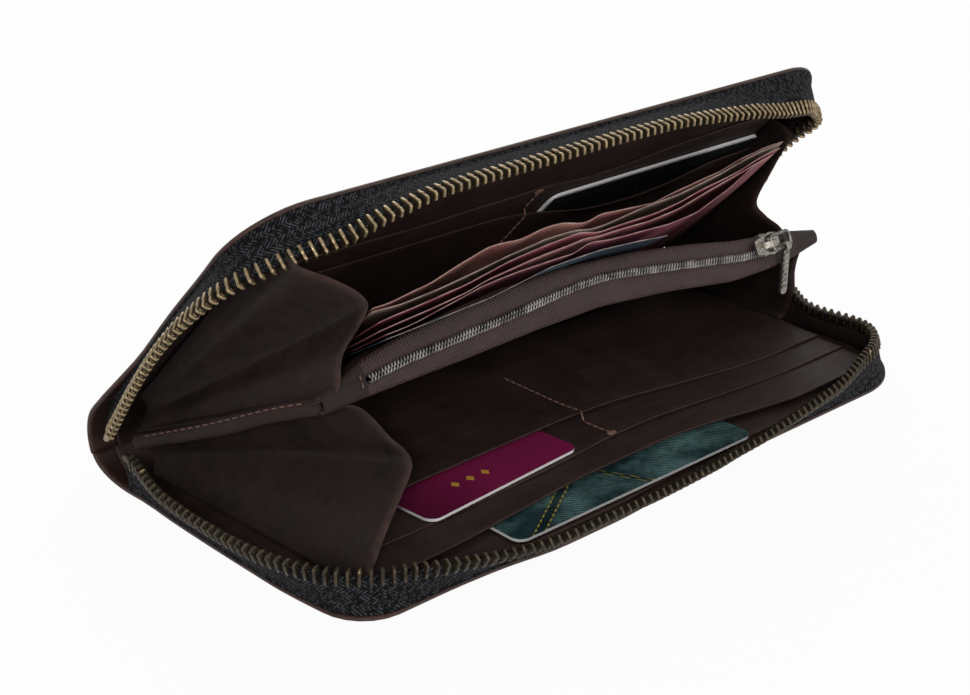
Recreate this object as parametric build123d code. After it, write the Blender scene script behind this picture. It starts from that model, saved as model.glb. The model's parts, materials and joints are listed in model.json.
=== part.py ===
"""Zip around wallet, lying on its lower cover and held open.

Millimetres.  X runs along the spine, +Y points at the spine, +Z is up.  The origin is
the middle of the lower cover's outer face, on the surface that the wallet lies on.

Every piece is laid out in the shut wallet, where both covers are level, and is then
swung open about one line inside the spine: the coin pocket by pocket_tilt and the
upper cover by cover_opening.  A height in the shut wallet is measured from the outer
face of the lower cover, and a depth is measured inward from the outer face of
whichever cover the piece belongs to.
"""
import os
from math import atan, cos, degrees, pi, radians, sin, tan

from build123d import *

# ---------------------------------------------------------------- driving sizes
cover_length = 208.0
cover_front = 47.5            # spine line side of the origin is pivot_y, this is the other
corner_radius = 23.0
shut_thickness = 26.0
pivot_y = 41.0                # where the flat covers end and the rounded spine begins
cover_opening = 47.0          # angle between the covers, degrees
pocket_tilt = 25.5            # angle of the coin pocket above the lower cover, degrees

leather = 1.4
lining = 0.8
lining_inset = 3.2
strip = 0.6                   # leather of the card slots
strip_gap = 0.06              # layers that lie on each other
card_thickness = 0.76
card_long = 85.6
card_short = 54.0
card_corner = 3.2
card_clearance = 0.3
soft_clearance = 0.3
seam_gap = 0.03               # between pieces that are sewn face to face
small_card_long = 70.5        # a loyalty card, shorter than a bank card

# zip round the covers
tape_inset = 1.2              # from the cover's edge to the middle of the tape
tape_thickness = 0.6
tooth_pitch = 2.7
tooth_thickness = 1.3
tooth_width = 2.8
tooth_height = 3.4
tooth_slot = 0.8
tooth_slot_depth = 1.75
tooth_tip_reach = 12.1        # from the cover's leather to the tooth tips, along the tape
tape_in_tooth = 1.6
side_lean = 22.5              # smallest outward lean of the tape, degrees

# coin pocket, sizes in the shut wallet
pocket_half_width = 89.7
pocket_left_end = 7.7         # from the pocket's side to its zip
pocket_right_end = 23.7
pocket_mouth = 30.4           # y of the panels' front edges, negated
pocket_mouth_height = 8.4
pocket_back_height = 1.9      # at the seam in the spine
pocket_leather = 0.7
pocket_middle = 13.0          # height of the zip line
coin_tape = 0.5
coin_tape_gap = 1.0
coil_row = 1.3
coil_row_gap = 0.9
coil_depth = 1.5

# ---------------------------------------------------------------- derived
half_length = cover_length / 2
pivot_z = shut_thickness / 2
spine_radius = pivot_z
side_run = pivot_y + cover_front - corner_radius
front_run = cover_length - 2 * corner_radius
tape_corner = corner_radius - tape_inset
corner_run = tape_corner * pi / 2
chain_run = 2 * side_run + 2 * corner_run + front_run
tooth_base_reach = tooth_tip_reach - tooth_height
tape_reach = tooth_base_reach + tape_in_tooth
lining_top = leather + lining
slot_half_x = pocket_half_width + 2.8
gusset_x = slot_half_x + 2.5
coin_zip_left = pocket_left_end - pocket_half_width
coin_zip_right = pocket_half_width - pocket_right_end

os.makedirs("parts", exist_ok=True)
PIVOT = Pos(0, pivot_y, pivot_z)


def save(name, shape):
    """Write one named piece."""
    export_step(shape, "parts/" + name + ".step")


def swung(shape, angle):
    """Swing a piece of the shut wallet open by an angle about the spine's line."""
    return PIVOT * Rot(-angle, 0, 0) * PIVOT.inverse() * shape


def block(x0, x1, y0, y1, z0, z1):
    """A box between two corners."""
    return Pos((x0 + x1) / 2, (y0 + y1) / 2, (z0 + z1) / 2) * Box(x1 - x0, y1 - y0, z1 - z0)


def side_profile(points, x0, x1):
    """Extrude a (y, z) outline along X from x0 to x1."""
    outline = Face(Wire.make_polygon([Vector(x0, y, z) for y, z in points], close=True))
    solid = Solid.extrude(outline, Vector(x1 - x0, 0, 0))
    return solid


def slab(half_x, front, back, radius, z0, z1):
    """A plate from y = -front to y = back with rounded front corners."""
    width = front + back
    plate = Pos(0, (back - front) / 2, (z0 + z1) / 2) * Box(2 * half_x, width, z1 - z0)
    front_edges = plate.edges().filter_by(Axis.Z).group_by(Axis.Y)[0]
    return fillet(front_edges, radius)


def card(x0, front, along_x, along_y, z0, turn=0.0):
    """A plastic card with rounded corners, its front left corner at (x0, -front)."""
    blank = block(0, along_x, 0, along_y, z0, z0 + card_thickness)
    return Pos(x0, -front, 0) * Rot(0, 0, turn) * fillet(blank.edges().filter_by(Axis.Z),
                                                         card_corner)


def upper_side(shape):
    """Turn a piece laid out on the lower cover over, onto the upper cover, and swing it open."""
    turned = mirror(shape, about=Plane.XY.offset(pivot_z))
    return swung(turned, cover_opening)


# ---------------------------------------------------------------- the zip's path
def path_point(run):
    """Point and outward direction on the tape's foot, run mm from its left spine end."""
    left = -(half_length - tape_inset)
    if run < side_run:
        return left, pivot_y - run, 180.0
    run -= side_run
    centre_x = half_length - corner_radius
    centre_y = corner_radius - cover_front
    if run < corner_run:
        angle = 180.0 + 90.0 * run / corner_run
        return (tape_corner * cos(radians(angle)) - centre_x,
                tape_corner * sin(radians(angle)) + centre_y, angle)
    run -= corner_run
    if run < front_run:
        return run - centre_x, tape_inset - cover_front, 270.0
    run -= front_run
    if run < corner_run:
        angle = 270.0 + 90.0 * run / corner_run
        return (tape_corner * cos(radians(angle)) + centre_x,
                tape_corner * sin(radians(angle)) + centre_y, angle)
    run -= corner_run
    return -left, centre_y + run, 360.0


def lean_at(run, stations):
    """Outward lean of the tape, eased between (run, lean) stations."""
    for (run0, lean0), (run1, lean1) in zip(stations, stations[1:]):
        if run <= run1:
            share = max(0.0, (run - run0) / (run1 - run0))
            return lean0 + (lean1 - lean0) * (1 - cos(pi * share)) / 2
    return stations[-1][1]


def lean_stations(left_side, left_corner, front, right_corner):
    """Lean of the open zip: it flops outward most in the middle of its straight runs."""
    front_start = side_run + corner_run
    front_end = front_start + front_run
    return [(0.0, side_lean), (side_run * 0.55, left_side),
            (side_run + corner_run * 0.6, left_corner),
            (front_start + front_run * 0.33, front), (front_start + front_run * 0.66, front),
            (front_end + corner_run * 0.5, right_corner),
            (front_end + corner_run, side_lean), (chain_run, side_lean)]


lower_lean = lean_stations(30.0, 26.0, 62.0, 26.0)
upper_lean = lean_stations(38.0, 30.0, 44.0, 26.0)


def tape_plane(run, stations):
    """Plane on the tape's foot: x along the path, y outward off the tape, z up the tape."""
    x, y, angle = path_point(run)
    lean = lean_at(run, stations)
    outward = Vector(cos(radians(angle)), sin(radians(angle)), 0)
    along = Vector(-outward.Y, outward.X, 0)
    up_tape = outward * sin(radians(lean)) + Vector(0, 0, cos(radians(lean)))
    return Plane(origin=Vector(x, y, leather), x_dir=along, z_dir=up_tape)


def tape_wall(runs, stations):
    """The woven tape: a ribbon through one flat section at each run."""
    sections = []
    for run in runs:
        plane = tape_plane(run, stations)
        half = tape_thickness / 2
        foot = half * tan(radians(lean_at(run, stations))) + seam_gap
        corners = [(-half, foot), (half, foot), (half, tape_reach), (-half, tape_reach)]
        sections.append(Wire.make_polygon(
            [plane.from_local_coords(Vector(0, y, z)) for y, z in corners], close=True))
    return Solid.make_loft(sections, ruled=True)


def tooth():
    """One metal tooth on its tape plane: two legs that clamp the tape, and a bevelled head."""
    half = tooth_width / 2
    slot = tooth_slot / 2
    shoulder = 0.8
    outline = [(-half, 0), (-half, tooth_height - shoulder), (shoulder - half, tooth_height),
               (half - shoulder, tooth_height), (half, tooth_height - shoulder), (half, 0),
               (slot, 0), (slot, tooth_slot_depth), (-slot, tooth_slot_depth), (-slot, 0)]
    face = Face(Wire.make_polygon(
        [Vector(-tooth_thickness / 2, y, z + tooth_base_reach) for y, z in outline], close=True))
    return Solid.extrude(face, Vector(tooth_thickness, 0, 0))


first_tooth = 5.0             # from the spine end of the path to the first tooth
stop_run = 2.6                # where the end stops sit on the tape
tooth_count = int((chain_run - 2 * first_tooth) / tooth_pitch)
tooth_runs = [first_tooth + tooth_pitch * k for k in range(tooth_count)]
tape_runs = [0.4] + tooth_runs + [chain_run - 0.4]


def teeth_on(stations, skipped_end=0.0):
    """All teeth of one chain as separate solids."""
    blank = tooth()
    return Compound([tape_plane(run, stations).location * blank for run in tooth_runs
                     if run < chain_run - skipped_end])


def end_stop(run, stations, height):
    """A folded metal clip over the edge of the tape."""
    clip = block(-1.6, 1.6, -tooth_width / 2, tooth_width / 2,
                 tape_reach - tooth_slot_depth, tape_reach + height)
    slot = block(-1.7, 1.7, -tooth_slot / 2, tooth_slot / 2,
                 tape_reach - tooth_slot_depth - 0.1, tape_reach + 0.1)
    return tape_plane(run, stations).location * (clip - slot)


# ---------------------------------------------------------------- covers and spine
cover_blank = slab(half_length, cover_front, pivot_y, corner_radius, 0, leather)
save("lower_cover_leather", cover_blank)
save("upper_cover_leather", upper_side(cover_blank))

lining_blank = slab(half_length - lining_inset, cover_front - lining_inset, pivot_y,
                    corner_radius - lining_inset, leather, lining_top)
save("lower_cover_lining", lining_blank)
save("upper_cover_lining", upper_side(lining_blank))

spine_half_angle = 56.0       # what is left of the half round when the wallet is widest open
spine_lining_radius = spine_radius - leather


def spine_shell(outer, thickness, half_x):
    """A curved strip about the swing line, symmetric about the shut wallet's middle."""
    tube = Rot(0, 90, 0) * (Cylinder(outer, 2 * half_x) - Cylinder(outer - thickness, 2 * half_x))
    reach = 2 * outer
    low = Vector(0, reach * cos(radians(spine_half_angle)), reach * sin(radians(spine_half_angle)))
    wedge = side_profile([(0, 0), (low.Y, -low.Z), (2 * reach, 0), (low.Y, low.Z)],
                         -half_x - 1, half_x + 1)
    return swung(PIVOT * (tube & wedge), pocket_tilt)


save("spine_leather", spine_shell(spine_radius, leather, half_length))
save("spine_lining", spine_shell(spine_lining_radius, lining, half_length - lining_inset))

# ---------------------------------------------------------------- zip round the covers
save("lower_zip_tape", tape_wall(tape_runs, lower_lean))
save("upper_zip_tape", upper_side(tape_wall(tape_runs, upper_lean)))

slider_length = 10.0
slider_parking = 13.0         # the upper chain stops short of the parked slider
save("lower_zip_teeth", teeth_on(lower_lean))
save("upper_zip_teeth", upper_side(teeth_on(upper_lean, slider_parking + first_tooth)))
save("lower_zip_top_stop", end_stop(stop_run, lower_lean, 1.2))
save("upper_zip_top_stop", upper_side(end_stop(stop_run, upper_lean, 1.2)))
save("zip_bottom_stop", end_stop(chain_run - stop_run, lower_lean, 1.2))

# ---------------------------------------------------------------- card slots
slot_back = 36.0
thread = 0.5


def slot_strip(x0, x1, mouth, depth, thickness=strip):
    """A strip of leather whose front edge, at y = -mouth, is the mouth of a card slot."""
    return block(x0, x1, -mouth, slot_back, depth, depth + thickness)


# lower cover: three strips across its whole width, a card under the first and one under the third
wide_card_depth = lining_top + 0.7
wide_depth = wide_card_depth + card_thickness + card_clearance
wide_top = wide_depth + 0.7
lower_first_depth = wide_top + strip_gap
magenta_depth = lower_first_depth + strip + card_clearance
lower_second_depth = magenta_depth + card_thickness + card_clearance
lower_wide_mouth = 38.5
lower_first_mouth = 28.5
lower_second_mouth = 15.5
save("lower_wide_slot", slot_strip(-slot_half_x, slot_half_x, lower_wide_mouth, wide_depth, 0.7))
save("lower_slot_1", slot_strip(-slot_half_x, slot_half_x, lower_first_mouth, lower_first_depth))
save("lower_slot_2", slot_strip(-slot_half_x, slot_half_x, lower_second_mouth,
                                lower_second_depth))

# upper cover: three strips as well, with the white card under the last
upper_wide_depth = lining_top + card_clearance
upper_wide_top = upper_wide_depth + strip
upper_first_depth = upper_wide_top + strip_gap
white_depth = upper_first_depth + strip + card_clearance
upper_second_depth = white_depth + card_thickness + card_clearance
upper_wide_mouth = 36.0
upper_first_mouth = 24.0
upper_second_mouth = 13.0
save("upper_wide_slot",
     upper_side(slot_strip(-slot_half_x, slot_half_x, upper_wide_mouth, upper_wide_depth)))
save("upper_slot_1",
     upper_side(slot_strip(-slot_half_x, slot_half_x, upper_first_mouth, upper_first_depth)))
save("upper_slot_2",
     upper_side(slot_strip(-slot_half_x, slot_half_x, upper_second_mouth,
                           upper_second_depth)))


def stitches(y_start, y_end, depth):
    """A row of stitches along the middle of the slots."""
    stitch = 2.1
    pitch = 3.1
    count = int((y_start - y_end) / pitch)
    return [block(-thread / 2, thread / 2, y_start - pitch * k - stitch,
                  y_start - pitch * k, depth, depth + thread) for k in range(count)]


def centre_seam(y_start, second_mouth, second_depth, first_mouth, first_depth):
    """Stitches down the second strip and on over the first, ending in a bar tack."""
    second_top = second_depth + strip + seam_gap
    first_top = first_depth + strip + seam_gap
    tack_y = tack_inset - first_mouth
    row = stitches(y_start, -second_mouth, second_top)
    row += stitches(-second_mouth - seam_step, tack_y + seam_step, first_top)
    row.append(block(-1.6, 1.6, tack_y - 0.6, tack_y + 0.6, first_top, first_top + thread))
    return Compound(row)


tack_inset = 1.2              # from a slot's mouth back to the middle of the bar tack
seam_step = 0.5
save("lower_centre_stitching",
     centre_seam(17.0, lower_second_mouth, lower_second_depth,
                 lower_first_mouth, lower_first_depth))
save("upper_centre_stitching",
     upper_side(centre_seam(26.0, upper_second_mouth, upper_second_depth,
                            upper_first_mouth, upper_first_depth)))

# ---------------------------------------------------------------- cards and notes
denim_card_left = -54.4
denim_card_front = 46.2
save("denim_card", card(denim_card_left, denim_card_front, card_long, card_short, wide_card_depth))
magenta_card_left = -66.5
magenta_card_front = 28.8
magenta_card_turn = 4.5       # pushed in a little askew
save("magenta_card",
     card(magenta_card_left, magenta_card_front, card_short, small_card_long, magenta_depth,
          magenta_card_turn))
white_card_left = 8.0
white_card_front = 16.8
save("white_card", upper_side(card(white_card_left, white_card_front, card_long, card_short, white_depth)))

note_long = 156.0
note_short = 73.0
note_shares = ((0.96, 0.96), (0.99, 1.0), (1.0, 0.92), (0.94, 0.9), (0.82, 0.85))
notes_middle = -2.5           # x of the middle of the pile
note_thickness = 0.12
note_pitch = 0.22
notes_back = 33.0             # y of the notes' back edges
notes_fan = 12.0              # rise of the notes above the coin pocket, degrees
pocket_back = pivot_y + spine_lining_radius - lining - 0.25
pocket_taper = degrees(atan((pocket_mouth_height - pocket_back_height) / 2
                            / (pocket_back + pocket_mouth)))
notes_seat = (pocket_middle + pocket_back_height / 2
              + (pocket_back - notes_back) * tan(radians(pocket_taper)))
notes_line = Pos(0, notes_back, notes_seat + soft_clearance)
for number, (long_share, short_share) in enumerate(note_shares, start=1):
    z0 = note_pitch * (number - 1)
    half_note = note_long * long_share / 2
    note = block(notes_middle - half_note, notes_middle + half_note,
                 -note_short * short_share, 0, z0, z0 + note_thickness)
    fanned = notes_line * Rot(-pocket_taper - notes_fan, 0, 0) * note
    save("banknote_%d" % number, swung(fanned, pocket_tilt))

# ---------------------------------------------------------------- coin pocket
half_mouth = pocket_mouth_height / 2
half_back = pocket_back_height / 2


def pocket_panel(side):
    """One leather face of the pocket, side is 1 for the upper and -1 for the lower."""
    inner_mouth = pocket_middle + side * (half_mouth - pocket_leather)
    inner_back = pocket_middle + side * (half_back - pocket_leather)
    outer_mouth = pocket_middle + side * half_mouth
    outer_back = pocket_middle + side * half_back
    outline = [(-pocket_mouth, inner_mouth), (pocket_back, inner_back),
               (pocket_back, outer_back), (-pocket_mouth, outer_mouth)]
    return side_profile(outline, -pocket_half_width, pocket_half_width)


def pocket_side(x0, x1):
    """A strip that closes the pocket between its two faces."""
    mouth = half_mouth - pocket_leather - seam_gap
    back = half_back - pocket_leather - seam_gap
    return side_profile([(-pocket_mouth, pocket_middle - mouth),
                         (pocket_back, pocket_middle - back),
                         (pocket_back, pocket_middle + back),
                         (-pocket_mouth, pocket_middle + mouth)], x0, x1)


save("coin_pocket_lower_panel", swung(pocket_panel(-1), pocket_tilt))
save("coin_pocket_upper_panel", swung(pocket_panel(1), pocket_tilt))
save("coin_pocket_left_side",
     swung(pocket_side(-pocket_half_width, pocket_leather - pocket_half_width), pocket_tilt))
save("coin_pocket_right_side",
     swung(pocket_side(pocket_half_width - pocket_leather, pocket_half_width), pocket_tilt))

band_back = -pocket_mouth - seam_gap
band_front = band_back - coin_tape
band_low = pocket_middle - half_mouth
band_high = pocket_middle + half_mouth
tape_inner = coin_tape_gap / 2
save("coin_zip_lower_tape",
     swung(block(coin_zip_left, coin_zip_right, band_front, band_back, band_low,
                 pocket_middle - tape_inner), pocket_tilt))
save("coin_zip_upper_tape",
     swung(block(coin_zip_left, coin_zip_right, band_front, band_back,
                 pocket_middle + tape_inner, band_high), pocket_tilt))
save("coin_pocket_left_end",
     swung(block(-pocket_half_width, coin_zip_left - seam_gap, band_front, band_back,
                 band_low, band_high), pocket_tilt))
save("coin_pocket_right_end",
     swung(block(coin_zip_right + seam_gap, pocket_half_width, band_front, band_back,
                 band_low, band_high), pocket_tilt))


def coil(side):
    """One row of the moulded coil, sewn on the outside of its tape."""
    inner = pocket_middle + side * coil_row_gap / 2
    outer = inner + side * coil_row
    bar = block(coin_zip_left + 2, coin_zip_right - 2, band_front - coil_depth, band_front,
                min(inner, outer), max(inner, outer))
    round_edges = bar.edges().filter_by(Axis.X).group_by(Axis.Y)[0]
    return swung(fillet(round_edges, 0.45), pocket_tilt)


save("coin_zip_lower_coil", coil(-1))
save("coin_zip_upper_coil", coil(1))

# ---------------------------------------------------------------- gussets
gusset = 0.7


def fold(corner_a, corner_b, corner_c):
    """A flat three cornered panel of soft leather."""
    a, b, c = Vector(*corner_a), Vector(*corner_b), Vector(*corner_c)
    normal = (b - a).cross(c - a).normalized() * gusset
    face = Face(Wire.make_polygon([a - normal / 2, b - normal / 2, c - normal / 2], close=True))
    return Solid.extrude(face, normal)


def swung_point(x, y, z, angle):
    """Where a point of the shut wallet goes when it is swung open."""
    dy, dz = y - pivot_y, z - pivot_z
    c, s = cos(radians(angle)), sin(radians(angle))
    return x, pivot_y + dy * c + dz * s, pivot_z - dy * s + dz * c


def gusset_panels(spine_end, cover_end, crease, pocket_end, side):
    """A side gusset folded inward along a crease from the spine end."""
    corners = [(side * x, y, z) for x, y, z in (spine_end, cover_end, crease, pocket_end)]
    return fold(corners[0], corners[1], corners[2]) + fold(corners[0], corners[2], corners[3])


crease_in = 14.0              # how far the crease stands in from the gusset's edges
gusset_spine_y = 33.0
gusset_front_y = -41.0
gusset_depth = lining_top + 1.2
gusset_rise = 3.0             # of its spine end above its front end
pocket_tip_y = -26.0
pocket_tip_x = pocket_half_width + 0.3
pocket_tip_drop = pocket_mouth_height / 2 + 0.7
lower_crease_reach = 75.3     # from the swing line to the front end of the crease
upper_crease_reach = 82.6
lower_crease_angle = 0.42 * pocket_tilt
upper_crease_angle = pocket_tilt + 0.586 * (cover_opening - pocket_tilt)
lower_gusset = ((gusset_x, gusset_spine_y, gusset_depth + gusset_rise),
                (gusset_x, gusset_front_y, gusset_depth),
                swung_point(gusset_x - crease_in, pivot_y - lower_crease_reach, pivot_z,
                            lower_crease_angle),
                swung_point(pocket_tip_x, pocket_tip_y, pocket_middle - pocket_tip_drop,
                            pocket_tilt))
upper_gusset = (swung_point(gusset_x, gusset_spine_y,
                            shut_thickness - gusset_depth - gusset_rise, cover_opening),
                swung_point(gusset_x, gusset_front_y, shut_thickness - gusset_depth,
                            cover_opening),
                swung_point(gusset_x - crease_in, pivot_y - upper_crease_reach, pivot_z,
                            upper_crease_angle),
                swung_point(pocket_tip_x, pocket_tip_y, pocket_middle + pocket_tip_drop,
                            pocket_tilt))
for side_name, side in (("left", -1), ("right", 1)):
    save(side_name + "_lower_gusset", gusset_panels(*lower_gusset, side))
    save(side_name + "_upper_gusset", gusset_panels(*upper_gusset, side))


# ---------------------------------------------------------------- sliders and pulls
def slider_body(length, half_width, flange, channel, post, post_length, rail_gap):
    """A slider that travels along X with its wide end to +X, its face to +Y.

    Two flanges stand half a channel each side of the tape and are joined by a post.
    The rims of the flanges turn in towards the tape and leave rail_gap for it.
    """
    tail = 0.62 * half_width
    nose = 0.8 * half_width
    shoulder = length / 6
    outline = [(-length / 2, -tail), (shoulder, -half_width), (length / 2, -nose),
               (length / 2, nose), (shoulder, half_width), (-length / 2, tail)]
    face = Face(Wire.make_polygon([Vector(x, channel / 2, z) for x, z in outline], close=True))
    plate = Solid.extrude(face, Vector(0, flange, 0))
    plate = fillet(plate.edges().filter_by(Axis.Y), 0.5)
    bite = 0.05
    rim_height = (channel - rail_gap) / 2
    rim = block(-length / 6, length / 3, channel / 2 - rim_height, channel / 2 + bite,
                half_width * 0.84, half_width * 0.94)
    outer = plate + rim + mirror(rim, about=Plane.XY)
    inner = mirror(outer, about=Plane.XZ)
    setback = 0.4
    web = block(length / 2 - post_length - setback, length / 2 - setback,
                -channel / 2 - bite, channel / 2 + bite, -post / 2, post / 2)
    return outer + inner + web


def crown(foot, span, rise, bar, width):
    """The arched bridge on a slider's face that holds its pull, standing on y = foot."""
    outside = [(-span / 2 - bar, foot), (-span / 2 - bar, foot + rise * 0.6),
               (-span / 4, foot + rise + bar), (span / 4, foot + rise + bar),
               (span / 2 + bar, foot + rise * 0.6), (span / 2 + bar, foot)]
    inside = [(-span / 2, foot - 0.1), (-span / 2, foot + rise * 0.55), (-span / 4, foot + rise),
              (span / 4, foot + rise), (span / 2, foot + rise * 0.55), (span / 2, foot - 0.1)]
    solids = []
    for points in (outside, inside):
        face = Face(Wire.make_polygon([Vector(x, y, -width / 2) for x, y in points], close=True))
        solids.append(Solid.extrude(face, Vector(0, 0, width)))
    return solids[0] - solids[1]


def wire_loop(length, half_width, wire, corner):
    """A closed oblong loop of wire in the XZ plane, its near bar on the Z axis."""
    route = (Pos(length / 2, 0, 0) * Rot(90, 0, 0)
             * RectangleRounded(length, 2 * half_width, corner))
    loop_wire = route.faces()[0].outer_wire()
    section = Plane(origin=loop_wire.position_at(0), z_dir=loop_wire.tangent_at(0))
    return sweep(section * Circle(wire / 2), path=loop_wire)


def pull_tab(length, width, thickness, wire, barrel_length, ribs):
    """A flat ribbed tab that hangs along -Z from a barrel on the X axis, its face to Y."""
    bore = wire / 2 + wire_clearance
    barrel_radius = bore + thickness * 0.55
    top = -bore - thickness * 0.3
    blade = block(-width / 2, width / 2, -thickness / 2, thickness / 2, -length, top)
    blade = fillet(blade.edges().filter_by(Axis.Y).group_by(Axis.Z)[0], width * 0.4)
    tab = blade + Rot(0, 90, 0) * Cylinder(barrel_radius, barrel_length)
    tab = tab - Rot(0, 90, 0) * Cylinder(bore, 2 * width)
    rib_start = -barrel_radius - 0.8
    rib_pitch = (length + rib_start - 0.3 * width) / ribs
    margin = 0.14 * width
    relief = 0.22
    for k in range(ribs):
        z = rib_start - rib_pitch * k
        for face_side in (1, -1):
            y0, y1 = sorted((face_side * (thickness / 2 - 0.02),
                             face_side * (thickness / 2 + relief)))
            tab = tab + block(margin - width / 2, width / 2 - margin, y0, y1,
                              z - rib_pitch * 0.5, z)
    return tab


wire_clearance = 0.18

# coin zip slider, parked at the right with its wide end to +X and its face to the front
coin_slider_x = coin_zip_right - 9.0
coin_slider_length = 9.6
coin_half_width = 3.1
coin_flange = 0.8
coin_post = 0.7
coin_channel = coil_depth + coin_tape + 0.5
coin_channel_y = (band_back + band_front - coil_depth) / 2
coin_seat = Pos(coin_slider_x, coin_channel_y, pocket_middle) * Rot(180, 0, 0)
save("coin_slider_body",
     swung(coin_seat * slider_body(coin_slider_length, coin_half_width, coin_flange,
                                   coin_channel, coin_post, 3.6, coin_channel - 0.4),
           pocket_tilt))

coin_face = coin_channel / 2 + coin_flange
save("coin_slider_crown",
     swung(coin_seat * crown(coin_face + seam_gap, 3.6, 1.9, 0.8, 1.7), pocket_tilt))

coin_wire = 1.0
coin_link_x = 0.6
coin_link_lift = coin_face + 0.95
coin_link_length = 7.6
coin_link_half = 2.0
coin_link = wire_loop(coin_link_length, coin_link_half, coin_wire, 1.0)
save("coin_pull_link",
     swung(coin_seat * Pos(coin_link_x, coin_link_lift, 0) * coin_link, pocket_tilt))

# the tab hangs straight down from the lower bar of the link
coin_tab_x = coin_slider_x + coin_link_x + coin_link_length - 2.3
coin_tab_eye = swung_point(coin_tab_x, coin_channel_y - coin_link_lift,
                           pocket_middle - coin_link_half, pocket_tilt)
save("coin_pull_tab", Pos(*coin_tab_eye) * pull_tab(14.0, 2.6, 0.9, coin_wire, 2.0, 7))

# main slider, parked beside the spine on the right with its wide end to the front: it
# stands upright, and its channel takes the leaning chains of both covers
main_channel = 4.7
main_channel_x = half_length + 2.85
main_flange = 0.9
main_post = 1.3
post_clearance = 0.35
main_rail_gap = main_channel - 0.4
main_half_width = 5.2
slider_height = (leather + tooth_tip_reach * cos(radians(side_lean)) + main_post / 2
                 + post_clearance)
main_slider_y = pivot_y - 9.5
main_seat = Pos(main_channel_x, main_slider_y, slider_height) * Rot(0, 0, -90)
save("main_slider_body",
     main_seat * slider_body(slider_length, main_half_width, main_flange, main_channel,
                             main_post, 4.2, main_rail_gap))

main_face = main_channel / 2 + main_flange
save("main_slider_crown", main_seat * crown(main_face + seam_gap, 4.4, 2.3, 1.0, 2.2))

main_wire = 1.25
main_link_x = 0.7
main_link_lift = main_face + 1.15
main_link_length = 7.6
main_link = wire_loop(main_link_length, 3.0, main_wire, 1.3)
main_link_seat = main_seat * Pos(main_link_x, main_link_lift, 0)
save("main_pull_link", main_link_seat * main_link)
main_tab = Rot(0, -90, 0) * pull_tab(16.0, 4.6, 1.1, main_wire, 2.8, 7)
save("main_pull_tab", main_link_seat * Pos(main_link_length, 0, 0) * main_tab)
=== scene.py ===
import functools
import json
import math

import bpy
import numpy as np
from bpy.props import FloatProperty, FloatVectorProperty, PointerProperty
from bpy.types import Operator, Panel, PropertyGroup
from mathutils import Matrix, Vector

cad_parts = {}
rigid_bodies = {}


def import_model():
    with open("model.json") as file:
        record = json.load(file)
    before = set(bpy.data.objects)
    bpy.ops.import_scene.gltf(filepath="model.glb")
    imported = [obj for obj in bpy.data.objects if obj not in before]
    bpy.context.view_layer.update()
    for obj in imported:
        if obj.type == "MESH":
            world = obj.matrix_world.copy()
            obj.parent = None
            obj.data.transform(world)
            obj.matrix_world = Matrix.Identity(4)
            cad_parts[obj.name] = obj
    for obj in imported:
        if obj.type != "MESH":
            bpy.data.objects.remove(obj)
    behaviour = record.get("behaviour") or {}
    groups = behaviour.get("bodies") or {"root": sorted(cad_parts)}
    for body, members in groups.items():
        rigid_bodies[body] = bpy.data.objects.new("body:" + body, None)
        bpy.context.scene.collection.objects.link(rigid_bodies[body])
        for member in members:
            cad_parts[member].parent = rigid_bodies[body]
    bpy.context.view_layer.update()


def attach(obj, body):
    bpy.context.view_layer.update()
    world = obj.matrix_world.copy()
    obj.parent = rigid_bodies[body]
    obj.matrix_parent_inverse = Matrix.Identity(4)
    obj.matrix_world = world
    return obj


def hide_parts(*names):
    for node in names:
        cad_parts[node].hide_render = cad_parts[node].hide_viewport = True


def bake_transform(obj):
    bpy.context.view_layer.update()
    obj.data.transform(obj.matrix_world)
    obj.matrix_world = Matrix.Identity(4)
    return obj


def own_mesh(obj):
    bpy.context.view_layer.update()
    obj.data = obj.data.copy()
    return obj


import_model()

bl_info = {
    "name": "Zip around wallet",
    "version": (1, 0, 0),
    "blender": (4, 5, 0),
    "location": "3D View > Sidebar > Wallet",
    "description": "Builds the soft and sewn pieces of a zip around wallet on its frame",
    "category": "Object",
}

# ---------------------------------------------------------------- sizes of the frame, in mm
HALF_LENGTH = 104.0                     # half of the covers' length
COVER_FRONT = 47.5                      # from the middle to the covers' front edge
CORNER = 23.0                           # radius of the covers' front corners
SHUT = 26.0                             # thickness of the shut wallet
PIVOT_Y = 41.0                          # place of the spine's line, round which it opens
PIVOT_Z = 13.0
SPINE_ARC = 0.227                       # length of the spine's outside for each degree
OPENING = 47.0                          # angle of the upper cover, degrees
TILT = 25.5                             # angle of the coin pocket, degrees
HALF_SPINE = (180.0 - OPENING) / 2      # angle of each half of the open spine, degrees
LEATHER = 1.4                           # height of the covers' leather
LINING_TOP = 2.2                        # height of the lining on it
LINING_INSET = 3.2
BEND_X = HALF_LENGTH - CORNER           # centres of the rounded corners
BEND_Y = CORNER - COVER_FRONT
TAPE_INSET = 1.2
TAPE_TOP = 9.2                          # height of the woven tape, below its cord
CORD_MIDDLE = 9.95
TOOTH_PITCH = 2.5
SIDE_RUN = PIVOT_Y - BEND_Y             # lengths of the outline's straight sides
FRONT_RUN = 2 * BEND_X
CHAIN_RUN = 2 * SIDE_RUN + FRONT_RUN + (CORNER - TAPE_INSET) * math.pi
SLOT_HALF = 92.5                        # half of the card slots' length
SLOT_BACK = 36.0
POCKET_LEFT = -92.5                     # ends of the coin pocket's mouth
POCKET_RIGHT = 86.0
POCKET_DEPTH = 80.0
POCKET_BACK = 50.0
POCKET_MIDDLE = 13.0                    # height of its middle in the shut wallet
BAND_LEFT = -82.0                       # ends of its zip
BAND_RIGHT = 66.0


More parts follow.
